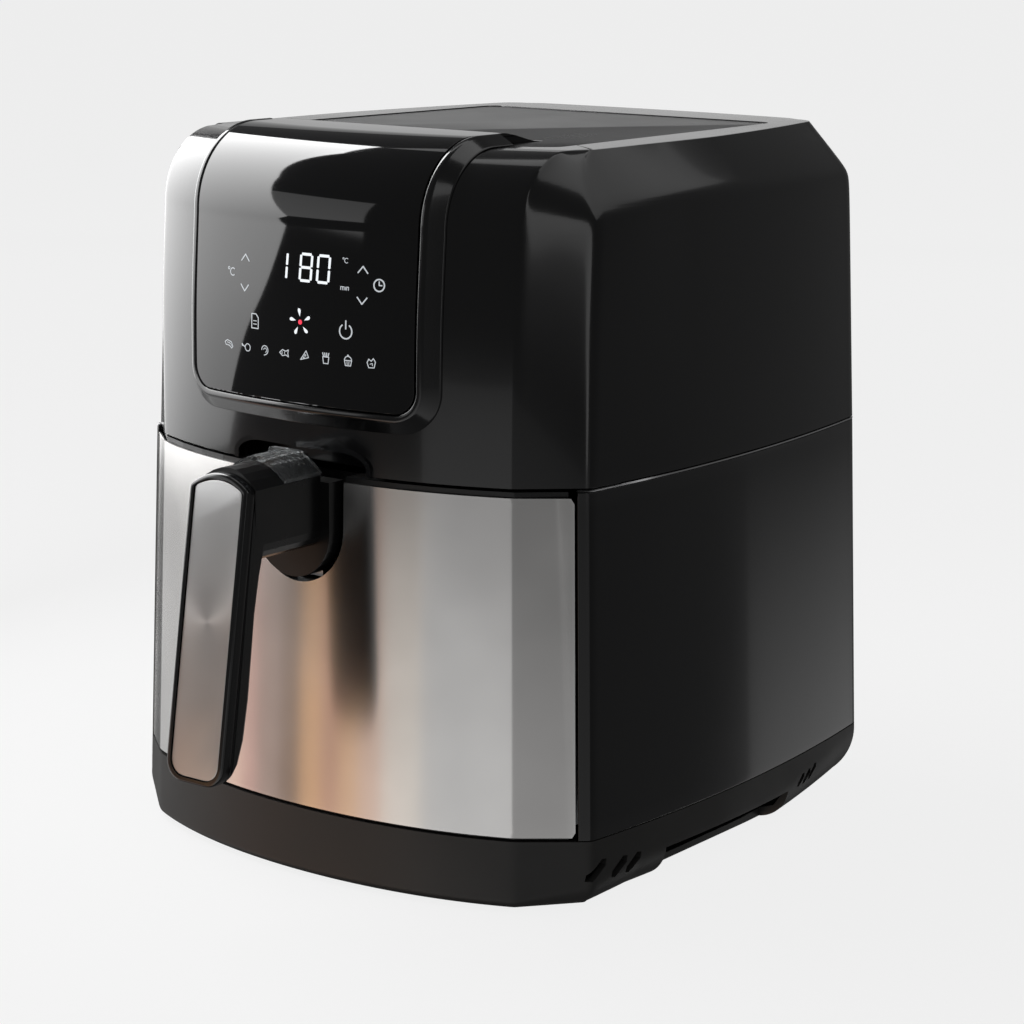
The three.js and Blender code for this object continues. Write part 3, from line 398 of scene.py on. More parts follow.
FINISH = {
    "gloss_black": material("gloss_black", (0.0035, 0.0035, 0.0042), 0.16, spread=0.03, grain=0.004,
                            grain_scale=300, Coat_Weight=0.4, Coat_Roughness=0.06),
    "panel_black": material("panel_black", (0.003, 0.003, 0.0035), 0.045, spread=0.015,
                            Specular_IOR_Level=0.6),
    "top_plate": material("top_plate", (0.02, 0.02, 0.021), 0.3, spread=0.03, grain=0.01, grain_scale=700),
    "satin_black": material("satin_black", (0.006, 0.006, 0.0065), 0.3, grain=0.012, grain_scale=1300),
    "base_grey": material("base_grey", (0.024, 0.023, 0.022), 0.5, grain=0.03, grain_scale=1800),
    "brushed_steel": material("brushed_steel", (0.62, 0.61, 0.6), 0.21, 1.0, spread=0.03, grain=0.02,
                              grain_scale=1500, brushed=(0.02, 0.02, 1), wear=0.3, Anisotropic=0.9,
                              Anisotropic_Rotation=0.25),
    "insert_steel": material("insert_steel", (0.6, 0.6, 0.6), 0.38, 1.0, grain=0.01, grain_scale=1800,
                             brushed=(1, 1, 0.03), Anisotropic=0.4),
    # Silver finish for the seam line: a painted highlight that stands in for the light the black seam edge
    # catches.
    "trim": material("trim", (0.6, 0.6, 0.61), 0.28, 1.0, grain=0.006),
    "nonstick": material("nonstick", (0.035, 0.035, 0.037), 0.42, grain=0.02, grain_scale=1600),
    "sheet_steel": material("sheet_steel", (0.5, 0.51, 0.52), 0.35, 1.0, grain=0.01, brushed=(0.05, 1, 1)),
    "heater_steel": material("heater_steel", (0.09, 0.085, 0.08), 0.5, 0.8, grain=0.02),
    "aluminium": material("aluminium", (0.6, 0.61, 0.62), 0.36, 1.0, grain=0.01),
    "screw_steel": material("screw_steel", (0.45, 0.46, 0.47), 0.3, 1.0, grain=0.006),
    "rubber": material("rubber", (0.018, 0.018, 0.018), 0.75, grain=0.03, grain_scale=2200),
    "circuit_board": material("circuit_board", (0.015, 0.1, 0.04), 0.4, grain=0.02, grain_scale=500),
    "white_plastic": material("white_plastic", (0.7, 0.69, 0.66), 0.4, grain=0.01),
    "motor_copper": material("motor_copper", (0.32, 0.15, 0.07), 0.35, 0.9, grain=0.04, grain_scale=900,
                             brushed=(1, 1, 0.05)),
    "clear_plastic": material("clear_plastic", (0.9, 0.92, 0.93), 0.06, spread=0.02, tint=(0.86, 0.89, 0.9),
                              Transmission_Weight=0.95, IOR=1.46),
}


def paint(obj, slot, finish=None):
    obj.data.materials.clear()
    obj.data.materials.append(FINISH[finish or slot])
    return obj


def put(obj, body, slot, *nodes, finish=None):
    """A new piece takes its finish, rides a body and stands for CAD nodes."""
    paint(obj, slot, finish)
    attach(obj, body)
    if nodes:
        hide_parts(*nodes)
    return obj


# ---------------------------------------------------------------- housing
def housing_levels(low):
    straight = np.arange(low, 286, 6.0)
    curved = ROLL_Z + ROLL_R * np.sin(np.linspace(-0.02, math.pi / 2, 42))
    chamfer = np.arange(287, 318, 1.5)
    return np.unique(np.round(np.concatenate([[low], straight, curved[curved > 287], chamfer]), 3))


def upper_housing():
    low = SEAM + 0.7
    levels = housing_levels(low)
    levels = levels[levels < TOP - 0.12]
    rings = np.array([at_height(drafted(PLAN, z), z) for z in levels])
    last = drafted(PLAN, TOP)
    rim = [at_height(inset(last, by), z) for by, z in ((0.0, TOP - 0.1), (0.5, TOP - 0.02), (1.2, TOP))]
    start = [at_height(inset(drafted(PLAN, low), by), z) for by, z in ((0.3, low), (0.0, low + 0.3))]
    hole = matched(plate_outline(0.7), last)
    mouth = [at_height(inset(hole, -0.35), TOP), at_height(hole, TOP - 0.3), at_height(hole, TOP - WALL)]
    within = [at_height(inset(drafted(PLAN, z), WALL), z - drop)
              for z, drop in ((TOP, 3), (312, 3), (303, 3), (ROLL_Z, 3), (LEAN_Z, 3), (low + 2, 2))]
    body = ring_loft("housing_upper", np.concatenate([start, rings[1:], rim, mouth, within]), 30)
    recess = prism("recess", arch_outline(0), endways, FRONT_Y - 10, FRONT_Y + 18)
    vent = box_piece("vent", (-45, 45), (120, 150), (225, 290))
    return put(carve(body, [recess, vent], 30), "housing", "gloss_black", "upper_shell")


def matched(outline, outer):
    """The outline's points in the same directions from its middle as the outer points."""
    def angle(points):
        return np.arctan2(points[:, 1] - 15.0, points[:, 0])

    dense = resample(np.concatenate([outline, outline[:1]]), 0.2)
    dense = dense[np.argsort(angle(dense))]
    here, turn = angle(dense), 2 * math.pi
    return np.stack([np.interp(angle(outer), here, dense[:, k], period=turn) for k in (0, 1)], 1)


def ring_loft(name, rings, sharp=35):
    """A hollow solid through closed rings, where the last ring joins the first."""
    rings = np.array(rings)
    count, cols = rings.shape[:2]
    faces = grid_faces(count, cols, True)
    last = (count - 1) * cols
    faces += [(last + j, last + (j + 1) % cols, (j + 1) % cols, j) for j in range(cols)]
    return make(name, row(rings).reshape(-1, 3), faces, sharp)


def arch_outline(grow):
    half, crown, edge = 36.5, 190.5, 184.0
    shoulder = arc(half - 14, edge, 14 + grow, crown - edge + grow, 0, math.pi / 2, 24)
    right = [(half + grow, 175.0)] + shoulder
    return right + [(-x, z) for x, z in right[::-1]]


def plate_outline(grow):
    half, back, rear, shoulder, front, corner = 87.5, 106.0, 82.5, 10.0, -76.0, 5.0
    right = [(half - shoulder, front), (half, front + shoulder * 0.8)]
    right += arc(rear - corner, back - corner, corner, corner, 0, math.pi / 2, 10)
    outline = resample(np.array(right + [(-x, y) for x, y in right[::-1]] + [right[0]]), 2.0)[:-1]
    return inset(blur(outline, 0.8, True), -grow)


def arch_lining():
    """The recess over the drawer's notch is lined, so that it is closed behind."""
    outer = prism("arch_lining", arch_outline(2.4), endways, FRONT_Y + 1.5, FRONT_Y + 20.3)
    inner = prism("void", arch_outline(0), endways, FRONT_Y - 5, FRONT_Y + 18)
    below = box_piece("below", (-60, 60), (-160, -90), (150, SEAM + 0.7))
    return put(carve(outer, [inner, below]), "housing", "gloss_black")


def open_part(outline, limit):
    """The rear part of the outline, behind y = limit, as an open run."""
    order = np.roll(outline, -np.argmax(outline[:, 1] > limit), 0)
    return order[order[:, 1] > limit]


def shell_strip(name, levels, grow, thick, limit):
    run = open_part(PLAN, limit)
    outer = [at_height(inset(drafted(run, z), -grow, False), z) for z in levels]
    inner = [at_height(inset(drafted(run, z), thick, False), z) for z in levels]
    return slab(name, outer, inner)


def lower_housing():
    z0, z1 = BASE_TOP + 0.35, SEAM - 0.6
    levels = np.r_[z0, z0 + 0.3, np.linspace(z0 + 3, z1 - 3, 24), z1 - 0.3, z1]
    shell = shell_strip("housing_lower", levels, 0, WALL, DRAWER_EDGE_Y)
    put(bevelled(shell, 0.3), "housing", "gloss_black", "lower_shell")
    # The seam line is a real thin ledge at the seam. Its silver finish is a painted highlight for the light
    # the black edge catches.
    trim = shell_strip("seam_line", [SEAM - 0.25, SEAM + 0.35], 0.12, WALL, DRAWER_EDGE_Y)
    put(trim, "housing", "trim", "seam_trim")


def base_radius(outline):
    x, y = np.abs(outline[:, 0]), outline[:, 1]
    ahead = mix(4, 12, clamp((x - CREASE_X) / (SIDE_FRONT[0] - CREASE_X)))
    behind = mix(12, 17, clamp((y - SIDE_FRONT[1]) / 30)) + 11 * clamp((y - 40) / 80)
    return np.where(y < SIDE_FRONT[1], ahead, behind)


def base_ring(z, wall=0.0):
    radius = np.maximum(1, base_radius(PLAN) - wall)
    under = clamp((radius + BASE_Z - z) / radius)
    outline = inset(PLAN, wall + radius * (1 - np.sqrt(1 - under ** 2)))
    return np.c_[drafted(outline, z), np.full(len(PLAN), z + wall)]


# Each air slot: its middle (y, z), length, width and slope.
AIR_SLOTS = [
    (-93, 16.3, 14, 4, 0.62),
    (-79, 14.7, 13, 4, 0.62),
    (-69.5, 14.2, 12.5, 4, 0.62),
    (67.8, 17.2, 8.5, 2.8, 0.7),
    (73.8, 17.5, 9.5, 2.8, 0.7),
    (79.6, 18.5, 10, 2.8, 0.7),
]


def slot_outline(y, z, length, width, slope):
    along = np.array([math.cos(slope), math.sin(slope)])
    across = np.array([-along[1], along[0]])
    reach, half = (length - width) / 2, width / 2
    corners = [(-reach, -half), (reach, -half), (reach + half, 0), (reach, half), (-reach, half),
               (-reach - half, 0)]
    return [np.array([y, z]) + along * a + across * b for a, b in corners]


def base():
    levels = BASE_Z + 28.5 * (1 - np.cos(np.linspace(0, math.pi / 2, 26)))
    body = closed_loft("base", [base_ring(z) for z in np.r_[levels, BASE_TOP]], 30)
    hollow = closed_loft("hollow", [base_ring(z, WALL) for z in (BASE_Z, 3.7, 9, 16, BASE_TOP + 4)])
    cutters = [hollow]
    for slot in AIR_SLOTS:
        for side in (-1, 1):
            cutters.append(prism("slot", slot_outline(*slot), sideways, side * 105, side * 150))
    for side in (-1, 1):
        x = sorted((side * 118.0, side * 150.0))
        cutters.append(box_piece("hold", x, (-47, 55), (-5, 15.2)))
    return put(carve(body, cutters, 30), "housing", "base_grey", "base_tray")


# ---------------------------------------------------------------- panel and bezel
def panel_glass():
    half, bottom, corner, proud = PANEL["half"], PANEL["bottom"], PANEL["corner"], PANEL["proud"]
    rise = corner * (1 - np.cos(np.linspace(0, math.pi / 2, 14)))
    runs = np.r_[bottom + rise, np.linspace(bottom + corner + 2, RUN_ROLL, 40),
                 np.linspace(RUN_ROLL, RUN_TOP, 50)[1:]]
    across = np.linspace(-1, 1, 81)
    outer, inner = [], []
    for run in runs:
        short = max(0, corner - (run - bottom))
        wide = half - corner + math.sqrt(max(0, corner ** 2 - short ** 2))
        outer.append(on_front(across * wide, run, proud))
        inner.append(on_front(across * wide, run, PANEL["under"]))
    x = across * half
    for t in np.linspace(0, 1, 24):
        z = PLATE_Z + (TOP + proud - PLATE_Z) * (0.5 + 0.5 * math.cos(math.pi * t))
        y = mix(RIDGE_Y, GLASS_END_Y, t)
        outer.append(np.stack([x, np.full(len(x), y), np.full(len(x), z)], 1))
        inner.append(np.stack([x, np.full(len(x), y), np.full(len(x), z - 3.6)], 1))
    glass = slab("panel_glass", outer, inner, 40)
    put(bevelled(glass, 0.5, 50), "housing", "panel_black", "control_panel")
    outline = plate_outline(0)
    levels = [(0, PLATE_Z - 3), (0, PLATE_Z - 0.5), (0.15, PLATE_Z - 0.15), (0.5, PLATE_Z)]
    plate = closed_loft("top_plate", [at_height(inset(outline, by), z) for by, z in levels])
    put(plate, "housing", "panel_black", finish="top_plate")


def bezel():
    inner, bottom, end = BEZEL["inner"], BEZEL["bottom"], BEZEL["end"]
    radius = PANEL["corner"] + inner - PANEL["half"]
    end_run = RUN_TOP + end - (FRONT_Y + float(front_bow(inner)) + LEAN + ROLL_R)
    side = np.r_[np.linspace(bottom + radius, RUN_ROLL, 30)[1:], np.linspace(RUN_ROLL, RUN_TOP, 30)[1:],
                 np.linspace(RUN_TOP, end_run, 4)[1:]]
    right = [(x, bottom, (0, -1)) for x in np.linspace(0, inner - radius, 24)]
    for a in np.linspace(-math.pi / 2, 0, 16)[1:]:
        out = (math.cos(a), math.sin(a))
        right.append((inner - radius + radius * out[0], bottom + radius + radius * out[1], out))
    right += [(inner, run, (1, 0)) for run in side]
    stations = [(-x, run, (-out[0], out[1])) for x, run, out in right[1:][::-1]] + right
    section = [(0, 0.35), (8.6, 0.35), (8.45, 0.75), (8.1, 1.05), (3.4, 4.35), (2.9, 4.85), (2.4, 5.02),
               (1.8, 5.05), (0.7, 4.85), (0.25, 4.65), (0, 4.3)]
    rings = []
    for x, run, out in stations:
        rings.append([on_front(x + out[0] * p, run + out[1] * p, h) for p, h in section])
    rail = closed_loft("bezel_rail", rings, 50)
    fix_normals(rail)
    put(rail, "housing", "gloss_black", "panel_bezel")


# ---------------------------------------------------------------- drawer front
def facade_run(edge_x):
    """The front part of the outline between -edge_x and edge_x, left to right."""
    order = np.roll(PLAN, len(PLAN) // 2, 0)
    keep = (order[:, 1] < DRAWER_EDGE_Y - 0.3) & (np.abs(order[:, 0]) < edge_x)
    return order[keep]


def steel_sheet():
    run = facade_run(STEEL["edge_x"])
    z0, z1, corner = STEEL["bottom"], STEEL["top"], STEEL["corner"]
    rows = np.r_[z0, z0 + 0.12, np.linspace(z0 + 2.5, z1 - 2.5, 40), z1 - 0.12, z1]
    outer = []
    inner = []
    for z in rows:
        outline = drafted(run, z)
        short = max(0, corner - min(z - z0, z1 - z))
        pull = corner - math.sqrt(max(0, corner ** 2 - short ** 2))
        length = np.r_[0, np.cumsum(np.linalg.norm(np.diff(outline, axis=0), axis=1))]
        at = np.linspace(pull, length[-1] - pull, len(run))
        outline = np.stack([np.interp(at, length, outline[:, k]) for k in (0, 1)], 1)
        edge = 0.25 if z in (z0, z1) else 0.0
        outer.append(np.c_[inset(outline, edge, False), np.full(len(run), z)])
        inner.append(np.c_[inset(outline, STEEL["thick"], False), np.full(len(run), z)])
    sheet = slab("steel_sheet", outer, inner, 30)
    notch = prism("notch", u_shape(24.5, 156.0, 200.0), endways, -160, -100)
    put(carve(sheet, [notch], 30), "drawer", "brushed_steel", "steel_front")


def drawer_shell():
    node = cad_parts["drawer_front"]
    smooth(node, 30)
    bevelled(node, 0.6)
    paint(node, "satin_black")


# ---------------------------------------------------------------- handle
GRIP_Y, GRIP_LEAN, GRIP_TOP = -186.0, 0.15, 178.0


def on_grip(x, depth, z):
    x, depth, z = np.broadcast_arrays(*(np.asarray(v, float) for v in (x, depth, z)))
    return np.stack([x, GRIP_Y - GRIP_LEAN * (GRIP_TOP - z) + depth, z], -1)


def handle_face(half, bottom, edge, crown, corner):
    right = arc(half - corner, bottom + corner, corner, corner, 1.5 * math.pi, 2 * math.pi, 14)
    top = [(half * t, edge + (crown - edge) * (1 - t * t)) for t in np.linspace(1, 0, 24)]
    whole = right + top
    whole = whole + [(-x, z) for x, z in whole[:-1][::-1]]
    outline = resample(np.array(whole + [whole[0]]), 0.8)[:-1]
    return blur(outline, 1.2, True)


def grip_rings(outline, steps):
    """The outline on the grip's face, inset by each step's first value at its second, the depth."""
    return [on_grip(inset(outline, by)[:, 0], depth, inset(outline, by)[:, 1]) for by, depth in steps]


def handle():
    outline = handle_face(16.3, 56.2, 180.5, 186.6, 9)
    steps = [(1.6, 0.0), (1.0, 0.1), (0.5, 0.35), (0.15, 0.8), (0.0, 1.6), (0.0, 5.0)]
    border = closed_loft("handle_border", grip_rings(outline, steps), 40)
    hole = handle_face(13.4, 58.8, 180, 183.8, 7)
    room = closed_loft("room", grip_rings(hole, [(-0.3, -2), (-0.3, 1.9)]))
    put(carve(border, [room], 40), "drawer", "gloss_black", "handle_frame")
    steps = [(0.5, 0.5), (0.2, 0.55), (0.0, 0.75), (0.0, 1.5)]
    insert = closed_loft("handle_plate", grip_rings(hole, steps), 40)
    put(insert, "drawer", "insert_steel", "handle_insert")


# ---------------------------------------------------------------- display graphics
def glow(name, color, strength):
    made = material(name, (0.02, 0.02, 0.02), 0.4)
    shader = made.node_tree.nodes["Principled BSDF"]
    shader.inputs["Emission Color"].default_value = (*color, 1)
    shader.inputs["Emission Strength"].default_value = strength
    return made


GLOW_WHITE = glow("glow_white", (0.92, 0.96, 1.0), 1.0)
GLOW_DIM = glow("glow_dim", (0.85, 0.9, 0.95), 0.62)
GLOW_RED = glow("glow_red", (1.0, 0.03, 0.08), 1.1)


def marks(name, strokes, finish, height=4.76):
    """Thin raised strokes on the glass: polylines of (x, z) with a width, or filled outlines with width 0."""
    verts, faces = [], []

    def patch(outline):
        base = len(verts)
        outline = np.array(outline, float)
        for lift in (height, height + 0.06):
            verts.extend(on_front(outline[:, 0], outline[:, 1], lift))
        n = len(outline)
        faces.append(tuple(base + n + i for i in range(n)))
        faces.append(tuple(base + i for i in range(n))[::-1])
        for i in range(n):
            k = (i + 1) % n
            faces.append((base + i, base + k, base + n + k, base + n + i))

    for points, width in strokes:
        points = np.array(points, float)
        if width == 0:
            patch(points)
            continue
        for a, b in zip(points[:-1], points[1:]):
            along = b - a
            length = np.linalg.norm(along)
            if length < 1e-6:
                continue
            along /= length
            side = np.array([-along[1], along[0]]) * width / 2
            cap = along * width * 0.35
            blunt = cap * 0.4
            start = [a + side - blunt, a - cap, a - side - blunt]
            patch([b - side + blunt, b + cap, b + side + blunt] + start)
    piece = make(name, row(np.array(verts)), faces, 30)
    fix_normals(piece)
    piece.data.materials.append(finish)
    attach(piece, "housing")


def circle(cx, cz, r, count=20, a0=0.0, a1=2 * math.pi):
    return arc(cx, cz, r, r, a0, a1, count)


def segment_digit(cx, cz, segments, slant=0.05):
    half, tall, gap = 3.0, 5.6, 0.45
    ends = {"a": ((-half, tall), (half, tall)), "g": ((-half, 0), (half, 0)),
            "d": ((-half, -tall), (half, -tall)),
            "f": ((-half, tall), (-half, 0)), "b": ((half, tall), (half, 0)),
            "e": ((-half, 0), (-half, -tall)), "c": ((half, 0), (half, -tall))}
    out = []
    for key in segments:
        (x0, z0), (x1, z1) = ends[key]
        a, b = np.array([x0, z0]), np.array([x1, z1])
        along = (b - a) / np.linalg.norm(b - a)
        a, b = a + along * (gap + 0.25), b - along * (gap + 0.25)
        points = [(cx + p[0] + p[1] * slant, cz + p[1]) for p in (a, b)]
        out.append((points, 1.15))
    return out


def moved(strokes, cx, cz):
    """Strokes drawn round (0, 0), moved to a centre."""
    return [([(cx + x, cz + z) for x, z in points], width) for points, width in strokes]


def display():
    digits = segment_digit(-6.0, 268.6, "bc")
    digits += segment_digit(7.6, 268.7, "abcdefg") + segment_digit(17.0, 268.7, "abcdef")
    marks("digits", digits, GLOW_WHITE)
    arrows = []
    for cx in (37, -28):
        for cz, way in ((270, 1), (257, -1)):
            arrows += moved([([(-2.4, -1.4 * way), (0, 1.4 * way), (2.4, -1.4 * way)], 0.55)], cx, cz)
    marks("arrows", arrows, GLOW_DIM)
    power = [(circle(0, 0, 3.1, 20, math.radians(125), math.radians(415)), 0.6), ([(0, 1.0), (0, 4.5)], 0.6)]
    clock = [(circle(0, 0, 2.5), 0.6), ([(0, 1.6), (0, 0), (1.4, 0)], 0.5)]
    sheet = [([(-2, -3.1), (-2, 3.1), (0.6, 3.1), (2, 1.6), (2, -3.1), (-2, -3.1)], 0.45),
             ([(-1, 0.1), (1, 0.1)], 0.35), ([(-1, -1.3), (1, -1.3)], 0.35)]
    keys = moved(power, 29.3, 243.6) + moved(clock, 45.0, 264.0) + moved(sheet, -21.2, 243.3)
    for cx, cz, size in ((-36.6, 263.2, 1.0), (28.3, 273.2, 0.62)):
        keys.append((circle(cx - 1.9 * size, cz + 1.4 * size, 0.55 * size, 12), 0.35 * size))
        open_ring = circle(cx + 0.7 * size, cz, 1.6 * size, 14, math.radians(50), math.radians(310))
        keys.append((open_ring, 0.45 * size))
    arch = [(0, 0), (0, 1.3), (0.9, 1.3), (0.9, 0)]
    minutes = [(arch, 0.3), ([(0.9, 1.3), (1.8, 1.3), (1.8, 0)], 0.3), ([(2.5, 0), (2.5, 1.3)], 0.3)]
    keys += moved(minutes, 26.2, 260.9) + moved([(arch, 0.3)], 29.3, 260.9)
    marks("key_marks", keys, GLOW_DIM)
    blades = []
    centre = np.array([5.2, 245.4])
    shape = [(2.4, 0), (3.3, -0.28), (4.3, -0.7), (5.1, -0.85), (5.7, -0.5), (5.9, 0.05), (5.6, 0.55),
             (4.8, 0.7), (3.6, 0.4)]
    for i in range(5):
        a = math.radians(94 + 72 * i)
        along, across = np.array([math.cos(a), math.sin(a)]), np.array([-math.sin(a), math.cos(a)])
        blades.append(([tuple(centre + along * p + across * (q + 0.12 * (p - 2.4))) for p, q in shape], 0))
    marks("fan_mark", blades, GLOW_WHITE)
    marks("fan_dot", [(circle(*centre, 1.05, 16)[:-1], 0)], GLOW_RED)
    food_marks()


def food_marks():
    """Eight small outline marks for kinds of food, evenly spaced."""
    line, fine = 0.38, 0.3
    steak = [([(-2.6, 1), (-1, 1.9), (1.6, 1.2), (2.6, -0.6), (1.8, -1.5), (0.2, -0.4), (-2, -0.2),
               (-2.6, 1)], line),
             ([(-1.2, 0.9), (1, 0.5), (1.9, -0.6)], fine)]
    leg = [(circle(0.8, 0, 1.6, 14), line), ([(-0.8, 0.1), (-2.6, 0.9)], 0.5),
           ([(-2.7, 1.3), (-2.5, 0.5)], 0.6)]
    shrimp = [(circle(0, 0, 1.9, 14, math.radians(-60), math.radians(180)), line),
              (circle(0.2, 0, 0.9, 10, math.radians(-80), math.radians(170)), fine),
              ([(1, -1.7), (-0.4, -2.2)], line)]
    fish = [([(-2.6, 0), (-1, 1.3), (1, 0.8), (2.4, 1.5), (2.1, 0), (2.4, -1.5), (1, -0.8), (-1, -1.3),
              (-2.6, 0)], line),
            ([(-1.2, -0.6), (-1.2, 0.6)], fine), ([(0.2, -0.5), (0.2, 0.5)], fine)]
    pizza = [([(-2.2, -1.9), (0.9, 2.1), (2.2, -0.7), (-2.2, -1.9)], line),
             (circle(0.4, 0.1, 0.35, 8), fine), (circle(-0.4, -0.9, 0.3, 8), fine)]
    fries = [([(-1.6, 0.5), (-1.2, -2.3), (1.2, -2.3), (1.6, 0.5), (-1.6, 0.5)], line)]
    fries += [([(x, 0.6), (x * 1.5, 2.2)], 0.45) for x in (-1.1, -0.35, 0.35, 1.1)]
    cake = [([(-1.8, 0), (-1.3, -2.2), (1.3, -2.2), (1.8, 0)], line),
            (circle(0, 0, 1.8, 12, 0, math.pi), line),
            ([(-1.8, 0), (1.8, 0)], line), ([(-0.5, -0.4), (-0.4, -1.8)], fine),
            ([(0.5, -0.4), (0.4, -1.8)], fine), (circle(0, 2.1, 0.3, 8), fine)]
    hand = [([(-1.2, -2.1), (-2, 0), (-1.2, 1.5), (0, 0.7), (1, 1.9), (2, 0.5), (1.4, -2),
              (-1.2, -2.1)], line),
            ([(-0.6, -0.6), (0.5, -0.2), (0.6, -1.2)], fine)]
    kinds = [steak, leg, shrimp, fish, pizza, fries, cake, hand]
    strokes = []
    for kind, x in zip(kinds, np.linspace(-38, 42, len(kinds))):
        strokes += moved(kind, x, 231.4)
    marks("food_marks", strokes, GLOW_DIM)


# ---------------------------------------------------------------- carried-over nodes
KEPT = {
    "rubber": ["foot_1", "foot_2", "foot_3", "foot_4", "cord_gland"],
    "screw_steel": ["foot_screw_1", "foot_screw_2", "foot_screw_3", "foot_screw_4", "temperature_sensor",
                    "fan_shaft", "latch_catch", "basket_bracket", "bracket_screw_1", "bracket_screw_2",
                    "latch_pin", "button_spring"],
    "satin_black": ["rear_vent", "handle_body", "release_button"],
    "circuit_board": ["display_board", "power_board"],
    "sheet_steel": ["drawer_bay", "chamber_hood", "heater_guard", "motor_bracket"],
    "white_plastic": ["drawer_switch", "switch_plunger", "thermal_fuse", "cooling_fan", "latch_lever"],
    "heater_steel": ["heating_element"],
    "motor_copper": ["motor_body"],
    "aluminium": ["hot_air_fan"],
    "nonstick": ["pan", "basket", "crisper_tray"],
    "clear_plastic": ["button_guard"],
}
EDGES = {"rubber": 0.5, "satin_black": 0.7, "white_plastic": 0.4, "screw_steel": 0.2, "sheet_steel": 0.3,
         "nonstick": 0.4, "aluminium": 0.2, "circuit_board": 0.3, "clear_plastic": 0.3}


def carried_over():
    for slot, names in KEPT.items():
        for name in names:
            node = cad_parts[name]
            smooth(node)
            if slot in EDGES and name not in ("button_spring", "crisper_tray"):
                bevelled(node, EDGES[slot], 50)
            paint(node, slot)


# ---------------------------------------------------------------- studio
MIDDLE_HEIGHT = 200.0


def toward(azimuth, elevation, distance):
    """A place seen from the middle of the object: azimuth 0 is in front, 90 at its right."""
    az, el = math.radians(azimuth), math.radians(elevation)
    return (math.sin(az) * distance, -math.cos(az) * distance, MIDDLE_HEIGHT / 1000 + math.tan(el) * distance)


def reflector(name, directions, distance, low, high, color=(1, 1, 1), fade=1.0):
    """A glowing sheet through (azimuth, elevation) directions; its strength goes from low up to high."""
    points = [toward(az, el, distance) for az, el in directions]
    sheet = make(name, points, [tuple(range(len(points)))])
    glowing = bpy.data.materials.new(name)
    glowing.use_nodes = True
    nodes, links = glowing.node_tree.nodes, glowing.node_tree.links
    nodes.clear()
    coords = nodes.new("ShaderNodeTexCoord")
    split = nodes.new("ShaderNodeSeparateXYZ")
    links.new(coords.outputs["Generated"], split.inputs["Vector"])
    power = nodes.new("ShaderNodeMath")
    power.operation = "POWER"
    power.inputs[1].default_value = fade
    links.new(split.outputs["Z"], power.inputs[0])
    ramp = nodes.new("ShaderNodeMapRange")
    ramp.inputs["To Min"].default_value = low
    ramp.inputs["To Max"].default_value = high
    links.new(power.outputs["Value"], ramp.inputs["Value"])
    emission = nodes.new("ShaderNodeEmission")
    emission.inputs["Color"].default_value = (*color, 1)
    links.new(ramp.outputs["Result"], emission.inputs["Strength"])
    output = nodes.new("ShaderNodeOutputMaterial")
    links.new(emission.outputs["Emission"], output.inputs["Surface"])
    sheet.data.materials.append(glowing)
    sheet.visible_camera = False


# Warm strips low on the left, which the steel mirrors: azimuths from and to, strength and colour.
WARM = [
    ("tan_left", -58, -52, 0.62, (1.0, 0.70, 0.56)),
    ("pink", -52, -47.5, 0.44, (1.0, 0.62, 0.54)),
    ("brown", -47.5, -41, 0.30, (0.9, 0.68, 0.58)),
    ("dark_brown", -41, -36, 0.17, (0.95, 0.66, 0.5)),
    ("gold", -36, -31, 0.52, (1.0, 0.60, 0.33)),
    ("rose", -31, -26.5, 0.34, (1.0, 0.58, 0.44)),
    ("amber", -26.5, -22, 0.5, (1.0, 0.66, 0.42)),
    ("blush", -22, -16, 0.46, (1.0, 0.74, 0.62)),
    ("cream", -16, -6, 0.5, (1.0, 0.93, 0.86)),
]


def panel_of(az0, az1, el0, el1):
    return [(az0, el0), (az1, el0), (az1, el1), (az0, el1)]


# The softbox's distance and heights in mm, and its azimuths in degrees.
SOFTBOX = {"distance": 500.0, "outer": -108, "foot": (-54, 110), "corner": (-35, 285), "shoulder": (-50, 590),
           "head": (-85, 980)}


def softbox_outline():
    """The softbox slants out from its foot to a corner, and back over a shoulder to its head."""
    inner = [SOFTBOX[name] for name in ("foot", "corner", "shoulder", "head")]
    outline = [(SOFTBOX["outer"], inner[0][1]), *inner, (SOFTBOX["outer"], inner[-1][1])]
    return [(az, math.degrees(math.atan2(z - MIDDLE_HEIGHT, SOFTBOX["distance"]))) for az, z in outline]


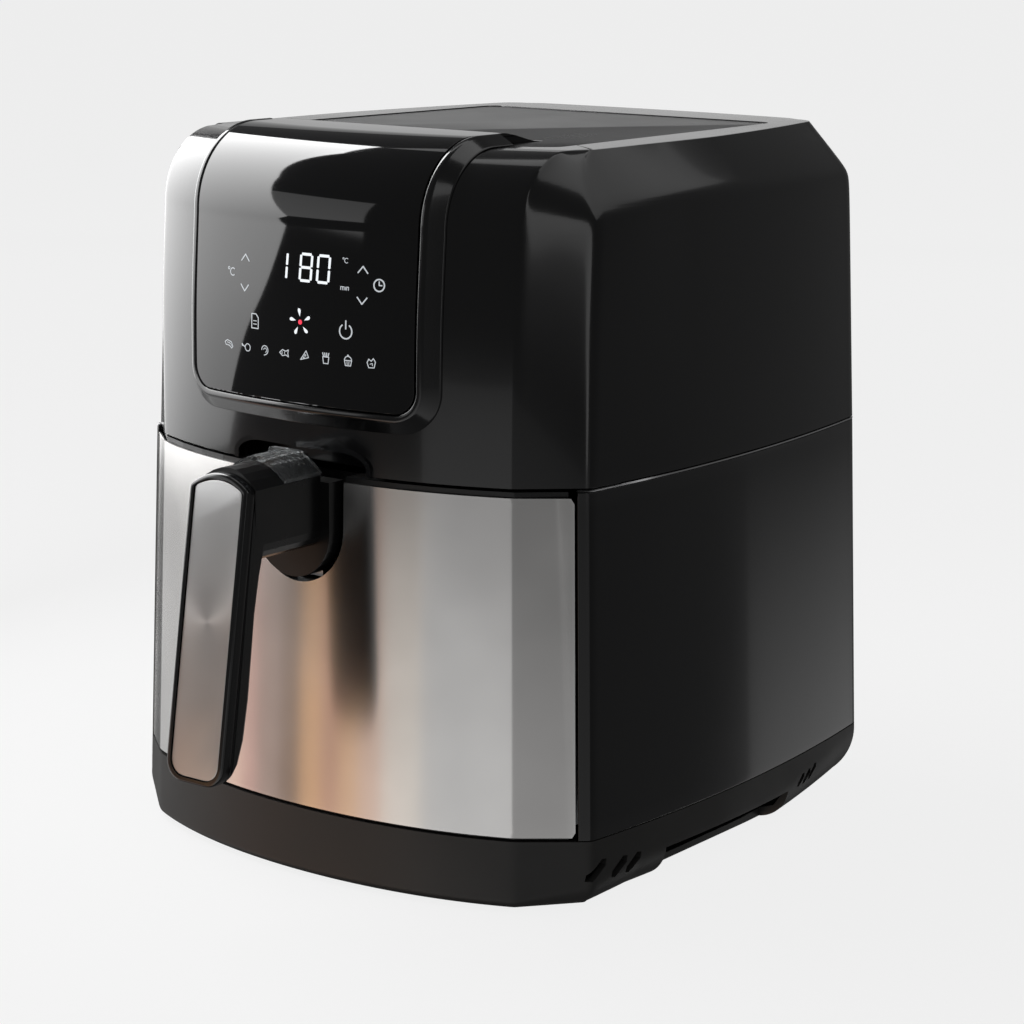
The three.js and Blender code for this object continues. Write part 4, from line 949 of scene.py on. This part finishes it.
def studio():
    scene = bpy.context.scene
    world = bpy.data.worlds.new("studio")
    scene.world = world
    world.use_nodes = True
    nodes, links = world.node_tree.nodes, world.node_tree.links
    background = nodes["Background"]
    background.inputs["Color"].default_value = (1, 1, 1, 1)
    path = nodes.new("ShaderNodeLightPath")
    seen = nodes.new("ShaderNodeMapRange")
    seen.inputs["To Min"].default_value = 0.10
    seen.inputs["To Max"].default_value = 0.86
    links.new(path.outputs["Is Camera Ray"], seen.inputs["Value"])
    links.new(seen.outputs["Result"], background.inputs["Strength"])
    floor = make("floor", [(-60, -60, 0), (60, -60, 0), (60, 60, 0), (-60, 60, 0)], [(0, 1, 2, 3)])
    pale = bpy.data.materials.new("pale_floor")
    pale.use_nodes = True
    shader = pale.node_tree.nodes["Principled BSDF"]
    shader.inputs["Base Color"].default_value = (0.09, 0.09, 0.09, 1)
    shader.inputs["Roughness"].default_value = 0.9
    shader.inputs["Specular IOR Level"].default_value = 0.0
    shader.inputs["Emission Color"].default_value = (1, 1, 1, 1)
    shader.inputs["Emission Strength"].default_value = 0.84
    floor.data.materials.append(pale)
    floor.visible_glossy = False
    floor.visible_diffuse = False
    reflector("softbox", softbox_outline(), SOFTBOX["distance"] / 1000, 1.6, 11.0)
    reflector("handle_fill", panel_of(-50, -21, 4, 24), 1.2, 1.0, 0.8)
    reflector("steel_left", panel_of(-104, -58, -45, -11), 0.9, 0.6, 0.6)
    reflector("steel_right", panel_of(-6, 26, -45, -6), 0.9, 1.15, 0.45)
    reflector("steel_facet", panel_of(26, 75, -45, -6), 0.9, 0.6, 0.22)
    for name, az0, az1, strength, color in WARM:
        reflector(name, panel_of(az0, az1, -45, -12), 0.9, strength * 2.7, strength * 1.5, color)
    reflector("behind", panel_of(196, 238, 4, 24), 2.4, 0.6, 0.35)
    reflector("right_high", panel_of(95, 160, 30, 62), 1.6, 0.5, 1.2)
    reflector("right_low", panel_of(146, 168, -42, -9), 1.5, 1.6, 0.1)
    reflector("overhead", panel_of(150, 250, 55, 76), 1.0, 1.0, 1.0)
    reflector("rim", panel_of(60, 66, -30, 40), 1.6, 1.0, 1.0)


CAMERA = {"place": (796.792, -1029.716, 421.315), "azimuth": 37.2954, "elevation": 12.2238, "tilt": 0.4086,
          "lens": 99.67, "sensor": 36}


def camera():
    data = bpy.data.cameras.new("photo_camera")
    data.sensor_width = CAMERA["sensor"]
    data.lens = CAMERA["lens"]
    made = bpy.data.objects.new("photo_camera", data)
    scene = bpy.context.scene
    scene.collection.objects.link(made)
    az, el, tilt = (math.radians(CAMERA[name]) for name in ("azimuth", "elevation", "tilt"))
    ahead = Vector((-math.sin(az) * math.cos(el), math.cos(az) * math.cos(el), -math.sin(el)))
    right = ahead.cross(Vector((0, 0, 1))).normalized()
    up = right.cross(ahead)
    across = right * math.cos(tilt) + up * math.sin(tilt)
    above = up * math.cos(tilt) - right * math.sin(tilt)
    turn = Matrix((across, above, -ahead)).transposed().to_4x4()
    made.matrix_world = Matrix.Translation(Vector(row(CAMERA["place"]))) @ turn
    scene.camera = made
    scene.view_settings.view_transform = "Standard"


upper_housing()
arch_lining()
lower_housing()
base()
panel_glass()
bezel()
steel_sheet()
drawer_shell()
handle()
display()
carried_over()
studio()
camera()
